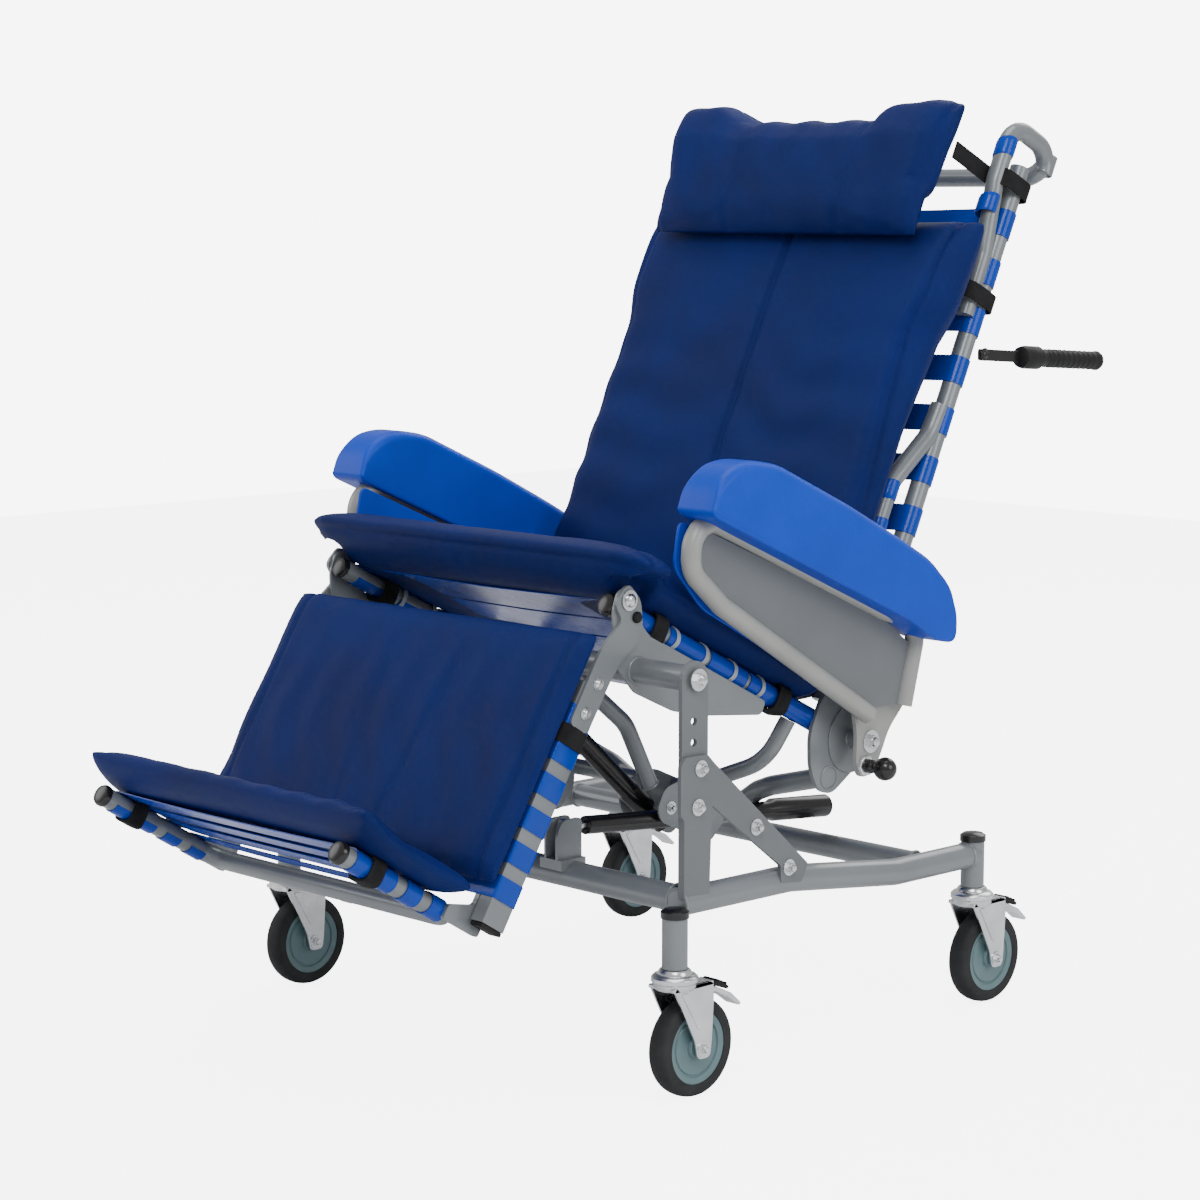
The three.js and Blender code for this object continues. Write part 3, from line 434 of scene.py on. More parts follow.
def make_fabric(name, colour, shade, rough, threads=320.0, wrinkle=0.8):
    """Coated cloth: a mottled finish with a plain weave and soft creases."""
    material = finish(name, colour, shade, rough, change=0.16, patch=7.0)
    tree = material.node_tree
    shader = tree.nodes["Principled BSDF"]
    weave = tree.nodes.new("ShaderNodeGroup")
    weave.node_tree = GROUP["weave"]
    weave.inputs["Threads"].default_value = threads
    weave.inputs["Wrinkle"].default_value = wrinkle
    bump = next(n for n in tree.nodes if n.type == "BUMP")
    bump.inputs["Strength"].default_value = 0.35
    bump.inputs["Distance"].default_value = 0.0016
    tree.links.new(weave.outputs["Height"], bump.inputs["Height"])
    shader.inputs["Specular IOR Level"].default_value = 0.13
    return material


# ---- soft goods ------------------------------------------------------------------------------------
def smooth_step(x, low, high):
    """0 below low, 1 above high, and a smooth rise between."""
    t = np.clip((x - low) / (high - low), 0, 1)
    return t * t * (3 - 2 * t)


def bump_at(x, centre, width):
    """A bell curve round centre."""
    return np.exp(-(((x - centre) / width) ** 2))


def pad_shell(a0, a1, half, top, bottom, rows=120, cols=120, edge=9.0):
    """A closed pad on a grid: a from a0 to a1, x out to half(a), skins at top(x, a) and bottom(x, a).
    Both skins close on the middle height at the rim, with a round edge set by a high power."""
    u = np.sin(np.linspace(-1, 1, rows) * np.pi / 2)
    v = np.sin(np.linspace(-1, 1, cols) * np.pi / 2)
    uu, vv = np.meshgrid(u, v, indexing="ij")
    a = a0 + (a1 - a0) * (uu + 1) / 2
    x = half(a) * vv
    full = ((1 - np.abs(uu) ** edge) * (1 - np.abs(vv) ** edge)) ** 0.5
    hi, lo = top(x, a), bottom(x, a)
    middle, thick = (hi + lo) / 2, (hi - lo) / 2
    upper = np.stack([x, a, middle + thick * full], -1).reshape(-1, 3)
    lower = np.stack([x, a, middle - thick * full], -1).reshape(-1, 3)
    front = grid_faces(rows, cols)
    rear = [[i + rows * cols for i in face[::-1]] for face in grid_faces(rows, cols)]
    return np.concatenate([upper, lower]), front + rear


def puff(thing, cap, voxel=6.0, pressure=4.0, frames=20):
    """Fills a pad by cloth pressure: remeshes it evenly, swells it, and holds each point within cap mm."""
    scene = bpy.context.scene
    bpy.context.view_layer.objects.active = thing
    remesh = thing.modifiers.new("remesh", "REMESH")
    remesh.mode = "VOXEL"
    remesh.voxel_size = voxel * MM
    bpy.ops.object.modifier_apply(modifier=remesh.name)
    count = len(thing.data.vertices)
    before = np.zeros(count * 3)
    thing.data.vertices.foreach_get("co", before)
    cloth = thing.modifiers.new("swell", "CLOTH")
    cloth.settings.quality = 5
    cloth.settings.mass = 0.3
    cloth.settings.use_pressure = True
    cloth.settings.uniform_pressure_force = pressure
    cloth.settings.effector_weights.gravity = 0
    cloth.settings.tension_stiffness = 15
    cloth.settings.bending_stiffness = 0.5
    cloth.point_cache.frame_start = 1
    cloth.point_cache.frame_end = frames
    for step in range(1, frames + 1):
        scene.frame_set(step)
    shaped = thing.evaluated_get(bpy.context.evaluated_depsgraph_get()).data
    after = np.zeros(count * 3)
    shaped.vertices.foreach_get("co", after)
    thing.modifiers.remove(cloth)
    scene.frame_set(1)
    move = (after - before).reshape(-1, 3)
    far = np.linalg.norm(move, axis=1, keepdims=True)
    move *= np.minimum(1, cap * MM / np.maximum(far, 1e-9))
    thing.data.vertices.foreach_set("co", (before.reshape(-1, 3) + move).ravel())
    thing.data.update()


def subdivide_once(thing):
    """One level of subdivision, applied."""
    bpy.context.view_layer.objects.active = thing
    finer = thing.modifiers.new("finer", "SUBSURF")
    finer.levels = finer.render_levels = 1
    bpy.ops.object.modifier_apply(modifier=finer.name)


def press(thing, slope, depth):
    """Moves each point along its normal by depth(x, a, h, front) mm; front is 1 on the sitter's side."""
    mesh = thing.data
    count = len(mesh.vertices)
    points, normals = np.zeros(count * 3), np.zeros(count * 3)
    mesh.vertices.foreach_get("co", points)
    mesh.vertex_normals.foreach_get("vector", normals)
    points, normals = points.reshape(-1, 3), normals.reshape(-1, 3)
    local = slope.within(points)
    up = np.array([0, -slope.s, slope.c])
    front = smooth_step(normals @ up, 0.1, 0.6)
    moved = depth(local[:, 0], local[:, 1], local[:, 2], front)
    points = points + normals * (moved * MM)[:, None]
    mesh.vertices.foreach_set("co", points.ravel())
    mesh.update()


def cushion(name, shell, slope, body, node, cap, marks):
    """A stuffed pad in the fabric: swollen, subdivided, then its seams and creases pressed in."""
    thing = mesh_object(name, shell, slope, sharp=180.0)
    puff(thing, cap)
    subdivide_once(thing)
    press(thing, slope, marks)
    mesh = thing.data
    mesh.polygons.foreach_set("use_smooth", np.ones(len(mesh.polygons), bool))
    mesh.materials.clear()
    mesh.materials.append(FINISH["cushion cloth"])
    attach(thing, body)
    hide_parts(node)
    return thing


def ripple(x, a, wave, tilt, seed):
    """Irregular soft ridges across a slanted direction: two sines whose phase wanders."""
    along = a * math.cos(tilt) + x * math.sin(tilt)
    across = x * math.cos(tilt) - a * math.sin(tilt)
    wander = 1.6 * np.sin(across / 71 + seed) + 0.9 * np.sin(across / 31 + 2 * seed)
    return np.sin(along / wave * 2 * np.pi + wander) * np.sin(across / 93 + seed * 1.7)


# ---- settings --------------------------------------------------------------------------------------
def colour_property(label, default, about):
    """A linear colour."""
    return bpy.props.FloatVectorProperty(
        name=label, description=about, subtype="COLOR", size=3, min=0, max=1, default=default
    )


class ReclinerColours(bpy.types.PropertyGroup):
    """The colours of the chair's finishes."""

    paint: colour_property("Paint", (0.20, 0.218, 0.232), "Powder coat on the steel tubes")
    cloth: colour_property("Cloth", (0.0015, 0.0125, 0.118), "Cushion covers")
    pad: colour_property("Arm pad", (0.0005, 0.05, 0.52), "Moulded foam of the arm pads")
    strap: colour_property("Strap", (0.001, 0.045, 0.40), "Coated webbing")
    hub: colour_property("Hub", (0.12, 0.20, 0.215), "Wheel centres")


class ReclinerSizes(bpy.types.PropertyGroup):
    """Sizes of the trim that the frame leaves open."""

    back_straps: bpy.props.IntProperty(
        name="Back straps", description="Straps behind the back cushion", default=10, min=4, max=24
    )
    seat_straps: bpy.props.IntProperty(
        name="Seat straps", description="Straps under the seat cushion", default=5, min=2, max=12
    )
    leg_straps: bpy.props.IntProperty(
        name="Leg straps", description="Straps behind the calf cushion", default=6, min=2, max=12
    )
    swell: bpy.props.FloatProperty(
        name="Swell",
        description="How far a cushion may fill out",
        default=0.008,
        min=0,
        max=0.03,
        unit="LENGTH",
    )
    seam_depth: bpy.props.FloatProperty(
        name="Seam depth",
        description="Depth of the sewn seams",
        default=0.0024,
        min=0,
        max=0.008,
        unit="LENGTH",
    )


def colours():
    """The chair's colour settings."""
    return bpy.context.scene.recliner_colours


def sizes():
    """The chair's size settings."""
    return bpy.context.scene.recliner_sizes


def swell():
    """How far a cushion may fill out, mm."""
    return sizes().swell / MM


def seam_depth():
    """Depth of the sewn seams, mm."""
    return sizes().seam_depth / MM


class RECLINER_OT_finishes(bpy.types.Operator):
    """Makes the materials"""

    bl_idname = "recliner.finishes"
    bl_label = "Finishes"

    def execute(self, context):
        c = colours()
        GROUP["mottle"] = make_mottle_group()
        GROUP["weave"] = make_weave_group()
        dull = {"Specular IOR Level": 0.25}
        ink, soot = (0.006, 0.006, 0.007), (0.012, 0.012, 0.012)
        coated = {"metal": 0.15, "Coat Weight": 0.25}
        finish("paint", c.paint, darker(c.paint), 0.24, change=0.14, patch=9, grain=0.06, **coated)
        finish("arm paint", (0.33, 0.335, 0.32), (0.28, 0.285, 0.272), 0.26, patch=9)
        finish("panel", (0.145, 0.157, 0.166), (0.122, 0.133, 0.142), 0.4, change=0.1, patch=6, grain=0.04)
        finish("zinc", (0.78, 0.79, 0.80), (0.62, 0.63, 0.65), 0.16, change=0.2, metal=1.0, patch=30)
        finish("black rubber", ink, soot, 0.5, change=0.2, patch=30, grain=0.2, **dull)
        finish("black gloss", (0.008, 0.008, 0.009), (0.012, 0.011, 0.011), 0.16, patch=20, grain=0.02)
        rubber, dust = (0.015, 0.016, 0.017), (0.026, 0.027, 0.028)
        finish("tread", rubber, dust, 0.55, change=0.2, patch=25, grain=0.25, **dull)
        finish("hub", c.hub, darker(c.hub), 0.34, change=0.14, patch=14)
        finish("arm foam", c.pad, darker(c.pad), 0.36, change=0.16, patch=10, grain=0.35, **dull)
        finish("strap", c.strap, darker(c.strap), 0.12, change=0.14, patch=18, grain=0.12, **dull)
        finish("grey strap", (0.34, 0.37, 0.42), (0.27, 0.30, 0.34), 0.22, change=0.14, patch=18, grain=0.1)
        worn = (0.012, 0.012, 0.013)
        finish("webbing", (0.005, 0.005, 0.006), worn, 0.75, change=0.15, patch=40, grain=0.5, **dull)
        make_fabric("cushion cloth", c.cloth, darker(c.cloth, 0.72), 0.42)
        return {"FINISHED"}


# ---- base ------------------------------------------------------------------------------------------
RAIL = [
    [FRONT_RAIL_X, FRONT_CROSS_Y - RAIL_R, FRONT_RAIL_Z],
    [FRONT_RAIL_X - 4, 222, FRONT_RAIL_Z - 2],
    [REAR_X, 445, REAR_RAIL_Z],
    [REAR_X, WHEEL_BASE, REAR_RAIL_Z],
]


def dome_bolt(base, axis, radius=8.0, rise=5.0):
    """A washer under a low domed head."""
    profile = [
        [0, 0], [radius * 1.5, 0], [radius * 1.5, 1.2], [radius, 1.4],
        [radius, rise * 0.5], [radius * 0.72, rise * 0.9], [radius * 0.3, rise], [0, rise * 1.02],
    ]  # fmt: skip
    return turned(profile, base, axis, 24)


def hex_nut(base, axis, across=13.0, thick=7.0):
    """A washer under a six-sided nut with a domed crown."""
    washer = turned([[0, 0], [across * 0.8, 0], [across * 0.8, 1.4], [0, 1.4]], base, axis, 28)
    nut = turned([[0, 1.2], [across / 2, 1.2], [across / 2, thick], [0, thick]], base, axis, 6)
    crown = [[0, thick - 0.5], [across * 0.38, thick - 0.5], [across * 0.3, thick + 3], [0, thick + 4]]
    return merge(washer, nut, turned(crown, base, axis, 20))


def weld(centre, axis, radius, bead=2.2):
    """A weld bead: a ring of small round section whose radius wanders a little."""
    axis, u, w = square_to(axis)
    t = np.arange(48) * 2 * np.pi / 48
    s = np.arange(8) * 2 * np.pi / 8
    tt, ss = np.meshgrid(t, s, indexing="ij")
    around = np.cos(tt)[..., None] * u + np.sin(tt)[..., None] * w
    reach = radius + bead * (1 + 0.12 * np.sin(24 * tt)) * np.cos(ss)
    points = np.asarray(centre, float) + reach[..., None] * around + (bead * np.sin(ss))[..., None] * axis
    return points.reshape(-1, 3), grid_faces(48, 8, close_cols=True, close_rows=True)


class RECLINER_OT_base(bpy.types.Operator):
    """Makes the rails, posts, cross tubes, caps and bolts of the base"""

    bl_idname = "recliner.base"
    bl_label = "Base frame"

    def execute(self, context):
        posts = [(FRONT_X, 0.0), (REAR_X, WHEEL_BASE)]
        low, high = POST_LOW, POST_TOP
        wall = [[0, high - 4], [12, high - 4], [12, low], [POST_R, low], [POST_R, high], [0, high]]
        side = [tube(RAIL, RAIL_R, 120)]
        side += [turned(wall, (x, y, 0), (0, 0, 1)) for x, y in posts]
        side.append(weld((FRONT_RAIL_X, 16.5, FRONT_RAIL_Z), (0, 1, 0), RAIL_R - 0.6))
        side.append(weld((REAR_X, WHEEL_BASE - 15, REAR_RAIL_Z), (0, 1, 0), RAIL_R - 0.6))
        put_pair("side_rail", merge(*side), "base", "paint", "frame_paint", stands_for=["side_rail_{}"])
        cap = [
            [0, 2], [POST_R, 2], [POST_R, 0], [POST_R + 1.6, 0], [POST_R + 1.7, 8], [13, 11], [0, 12],
        ]  # fmt: skip
        raised = np.array(cap) + [0, POST_TOP - 6]
        caps = [turned(raised, (x, y, 0), (0, 0, 1)) for x, y in posts]
        put_pair("post_caps", merge(*caps), "base", "black gloss", "black_plastic")
        self.cross_tube("front_cross", FRONT_RAIL_X - RAIL_R + 2, FRONT_CROSS_Y, FRONT_RAIL_Z, RAIL_R)
        self.cross_tube("rear_cross", REAR_X - RAIL_R + 2, REAR_CROSS_Y, REAR_RAIL_Z, POST_R)
        places = ((42, 404), (37, 357), (140, 318), (200, 258))
        bolts = [hex_nut((377.2, y, z), (1, 0, 0)) for y, z in places]
        put_pair("gusset_bolts", merge(*bolts), "base", "zinc", "zinc")
        pivot = merge(
            turned([[0, 0], [6, 0], [6, 92], [0, 92]], (286.3, TILT_Y, TILT_Z), (1, 0, 0), 24),
            hex_nut((377.4, TILT_Y, TILT_Z), (1, 0, 0), 17, 7.5),
        )
        put_pair("tilt_pivot_bolt", pivot, "base", "zinc", "zinc", stands_for=["tilt_bolt_{}"])
        return {"FINISHED"}

    def cross_tube(self, name, reach, y, z, radius):
        """A straight tube from rail to rail with a weld bead at each end."""
        bar = tube([[-reach, y, z], [0, y, z], [reach, y, z]], radius)
        beads = [weld((side * (reach - 1), y, z), (1, 0, 0), radius) for side in (-1, 1)]
        put(name, merge(bar, *beads), "base", "paint", "frame_paint", stands_for=[f"{name}_tube"])


# ---- casters ---------------------------------------------------------------------------------------
TRAIL, AXLE_Z = 27.5, 62.5
WHEEL_R, WHEEL_HALF = 62.5, 15.0
CHEEK_IN, CHEEK = 19.0, 3.0


def fork_shell():
    """Pressed swivel fork: ball-race housing, top plate, two tapering cheeks with a pressed rib."""
    top = 145.0
    race = [
        [0, top - 6], [24, top - 6], [27, top - 2], [27, top + 2], [29, top + 4], [29, top + 9],
        [26, top + 12], [21, top + 13], [20, 162], [18, 164], [10.5, 164.2], [10.5, 218], [0, 218],
    ]  # fmt: skip
    cheek = [
        [-23, top], [45, top], [46, top - 20], [TRAIL + 15, AXLE_Z + 8], [TRAIL + 12, AXLE_Z - 12],
        [TRAIL - 9, AXLE_Z - 12], [TRAIL - 14, AXLE_Z + 12],
    ]  # fmt: skip
    shells = [turned(race, (0, 0, 0), (0, 0, 1), 40)]
    shells.append(plate([[-23, top - 5], [45, top - 5], [45, top], [-23, top]], -22, 22, 1.5))
    for side in (-1, 1):
        inner, outer = side * CHEEK_IN, side * (CHEEK_IN + CHEEK)
        shells.append(plate(cheek, min(inner, outer), max(inner, outer), 7))
        rib = [[-10, top - 8], [2, top - 8], [TRAIL - 2, AXLE_Z + 24], [TRAIL - 8, AXLE_Z + 24]]
        face = outer - side * 0.5
        shells.append(plate(rib, min(face, face + side * 1.8), max(face, face + side * 1.8), 3))
    return merge(*shells)


def axle_shell():
    """Axle bolt: a shank between two nuts with washers."""
    end = CHEEK_IN + CHEEK
    shank = turned([[0, -end], [5, -end], [5, end], [0, end]], (0, TRAIL, AXLE_Z), (1, 0, 0), 20)
    nuts = [hex_nut((side * end, TRAIL, AXLE_Z), (side, 0, 0), 12, 5) for side in (-1, 1)]
    return merge(shank, *nuts)


def tyre_shell():
    """Solid tread: a round-shouldered ring."""
    r, half = WHEEL_R, WHEEL_HALF
    t = np.linspace(-np.pi / 2, np.pi / 2, 15)
    crown = np.stack([r - 8 + 8 * np.cos(t) ** 0.7, (half - 1) * np.sin(t)], -1)
    bore = r - 17
    profile = [[bore, -half + 1.5], *crown.tolist(), [bore, half - 1.5], [bore, -half + 1.5]]
    return turned(profile, (0, TRAIL, AXLE_Z), (1, 0, 0), 72)


def hub_shell():
    """Moulded wheel centre: a dished face with a step, a groove and a raised boss on each side."""
    r, half = WHEEL_R - 16.8, WHEEL_HALF
    side = [
        [5.4, half], [13, half], [14.5, half - 1.5], [15, half - 5], [20, half - 6.5], [34, half - 5.2],
        [35, half - 6.6], [37, half - 6.6], [38, half - 4.6], [r - 1.5, half - 2.6], [r, half - 2.6],
    ]  # fmt: skip
    other = [[radius, -height] for radius, height in side[::-1]]
    return turned([*side, *other, side[0]], (0, TRAIL, AXLE_Z), (1, 0, 0), 64)


def pedal_shells():
    """Total-lock pedal: a pressed zinc lever under a ribbed black tread."""
    bent = [[46, 131], [60, 133], [88, 120], [106, 104], [102, 101], [84, 114], [58, 127], [46, 126]]
    lever = plate(bent, -11, 11, 2)
    tread = [plate([[50, 139], [64, 140], [82, 130], [79, 126], [62, 134], [50, 134]], -13, 13, 2)]
    for step in range(4):
        y, z = 55 + 7 * step, 140.5 - 3.0 * max(0, step - 1)
        tread.append(plate([[y, z - 2.5], [y + 3, z - 2.5], [y + 3, z + 0.6], [y, z + 0.6]], -12, 12, 0.8))
    return lever, merge(*tread)


class RECLINER_OT_casters(bpy.types.Operator):
    """Makes the four braked casters"""

    bl_idname = "recliner.casters"
    bl_label = "Casters"

    def execute(self, context):
        places = {
            "front_left": (FRONT_X, 0), "front_right": (-FRONT_X, 0),
            "rear_left": (REAR_X, WHEEL_BASE), "rear_right": (-REAR_X, WHEEL_BASE),
        }  # fmt: skip
        for where, (x, y) in places.items():
            move = np.array([x, y, 0.0])

            def at(shell):
                return shell[0] + move, shell[1]

            turning, rolling, pedal = f"caster_{where}", f"roller_{where}", f"pedal_{where}"
            fork = f"caster_fork_{where}"
            put(f"fork_{where}", at(fork_shell()), turning, "zinc", "zinc", stands_for=[fork], bevel=0.7)
            put(f"axle_{where}", at(axle_shell()), turning, "zinc", "zinc")
            wheel = f"wheel_{where}"
            put(f"tread_{where}", at(tyre_shell()), rolling, "tread", "wheel", stands_for=[wheel])
            put(f"hub_{where}", at(hub_shell()), rolling, "hub", "wheel")
            lever, tread = pedal_shells()
            node = f"brake_pedal_{where}"
            put(f"lever_{where}", at(lever), pedal, "zinc", "zinc", stands_for=[node], bevel=0.8)
            put(f"lever_tread_{where}", at(tread), pedal, "black rubber", "black_plastic", bevel=0.5)
        return {"FINISHED"}


# ---- straps ----------------------------------------------------------------------------------------
def strap_shell(reach, radius, a0, a1, sag=5.0, thick=1.5, skew=0.0):
    """A band wrapped from one side tube to the other: it crosses on top, hangs a little in the middle,
    goes round each tube and ends underneath. Its path lies in (x, h) and is carried from a0 to a1."""
    t = np.linspace(np.pi / 2, -np.pi * 0.93, 30)
    r = radius + thick / 2 + 0.25
    right = np.stack([reach + r * np.cos(t), r * np.sin(t)], -1)
    x = np.linspace(-reach, reach, 42)[1:-1]
    across = np.stack([x, r - sag * (1 - (x / reach) ** 2)], -1)
    left = right[::-1] * np.array([-1, 1])
    path = np.concatenate([left, across, right])
    step = np.gradient(path, axis=0)
    step /= np.linalg.norm(step, axis=1, keepdims=True)
    normal = np.stack([-step[:, 1], step[:, 0]], -1)
    outer, inner = path + normal * thick / 2, path - normal * thick / 2
    loop = np.concatenate([outer, inner[::-1]])
    n, widths = len(loop), np.linspace(0, 1, 7)
    lean = skew * np.abs(np.concatenate([path[:, 0], path[::-1, 0]])) / reach
    rows = [np.column_stack([loop[:, 0], a0 + (a1 - a0) * w + lean, loop[:, 1]]) for w in widths]
    m = n // 2
    faces = grid_faces(len(widths), n, close_cols=True)
    for row, flip in ((0, True), (len(widths) - 1, False)):
        for i in range(m - 1):
            quad = [row * n + i, row * n + i + 1, row * n + n - 2 - i, row * n + n - 1 - i]
            faces.append(quad[::-1] if flip else quad)
    return np.concatenate(rows), faces


def wrap_shell(x, h, radius, a0, a1, skew=3.0, thick=1.3):
    """A sleeve of webbing round a tube: a short tube whose ends slant and whose edges roll in."""
    u = np.linspace(0, 1, 9)
    roll = 1 - 0.6 * (np.abs(2 * u - 1) ** 8)
    t = np.arange(32) * 2 * np.pi / 32
    uu, tt = np.meshgrid(u, t, indexing="ij")
    reach = radius + 0.2 + thick * roll[:, None] * np.ones_like(tt)
    a = a0 + (a1 - a0) * uu + skew * np.cos(tt)
    outer = np.stack([x + reach * np.cos(tt), a, h + reach * np.sin(tt)], -1)
    inner_r = radius + 0.1
    inner = np.stack([x + inner_r * np.cos(tt), a, h + inner_r * np.sin(tt)], -1)[::-1]
    points = np.concatenate([outer, inner]).reshape(-1, 3)
    return points, grid_faces(18, 32, close_cols=True, close_rows=True)


def tie_shell(x, h, across, over, a, width, thick=2.2):
    """A hook-and-loop tie: a flat band round a stadium-shaped bundle, with its free end lapped over."""
    t = np.arange(40) * 2 * np.pi / 40
    power = 0.55
    cx = np.sign(np.cos(t)) * np.abs(np.cos(t)) ** power
    sx = np.sign(np.sin(t)) * np.abs(np.sin(t)) ** power
    lap = thick * 0.9 * bump_at(t, 4.2, 0.5)
    ring_out = np.stack([x + (across + thick + lap) * cx, h + (over + thick + lap) * sx], -1)
    ring_in = np.stack([x + across * cx, h + over * sx], -1)
    rows = []
    for ring, a_at in ((ring_in, 0), (ring_out, 0), (ring_out, width), (ring_in, width)):
        rows.append(np.column_stack([ring[:, 0], np.full(40, a + a_at), ring[:, 1]]))
    return np.concatenate(rows), grid_faces(4, 40, close_cols=True, close_rows=True)


def leg_band(a0, a1, thick=1.4):
    """A calf strap: round both rectangular side tubes and across behind the pad."""
    side, low, high, inner = 275.4, -25.0, 13.0, 253
    corners = [
        [-side, low], [-side, high], [side, high], [side, low],
        [inner, low], [inner, high - 3], [-inner, high - 3], [-inner, low],
    ]  # fmt: skip
    loop = rounded(corners, 3.0, 4)
    grown = loop * np.array([(side + thick) / side, 1])
    grown[:, 1] = np.where(loop[:, 1] > high - 2, loop[:, 1] + thick, grown[:, 1])
    grown[:, 1] = np.where(loop[:, 1] < low + 2, loop[:, 1] - thick, grown[:, 1])
    n = len(grown)
    rows = [np.column_stack([grown[:, 0], np.full(n, a), grown[:, 1]]) for a in (a0, a1)]
    faces = grid_faces(2, n, close_cols=True)
    faces.append(list(range(n))[::-1])
    faces.append(list(range(n, 2 * n)))
    return np.concatenate(rows), faces


def end_cap(x, a, h, radius, away):
    """A push-in end cap with a domed face; away is -1 or 1 along the slope."""
    profile = [
        [0, -6], [radius - 2.2, -6], [radius - 2.2, 0], [radius + 1.2, 0], [radius + 1.4, 5],
        [radius - 0.5, 8.5], [radius * 0.6, 10], [0, 10.4],
    ]  # fmt: skip
    return turned(profile, (x, a, h), (0, away, 0), 32)


# ---- seat frame ------------------------------------------------------------------------------------
TILT_A, TILT_H = SEAT.flat(TILT_Y, TILT_Z)
KNEE_A, KNEE_H = SEAT.flat(KNEE_Y, KNEE_Z)
HOOP_A, HOOP_R, BRACKET_FRONT = 375.0, 11.0, 286.0
BRACKET = [
    [BRACKET_FRONT, -152], [BRACKET_FRONT + 40, -120], [398, -116], [412, -150],
    [400, -190], [300, -194], [BRACKET_FRONT, -182],
]  # fmt: skip


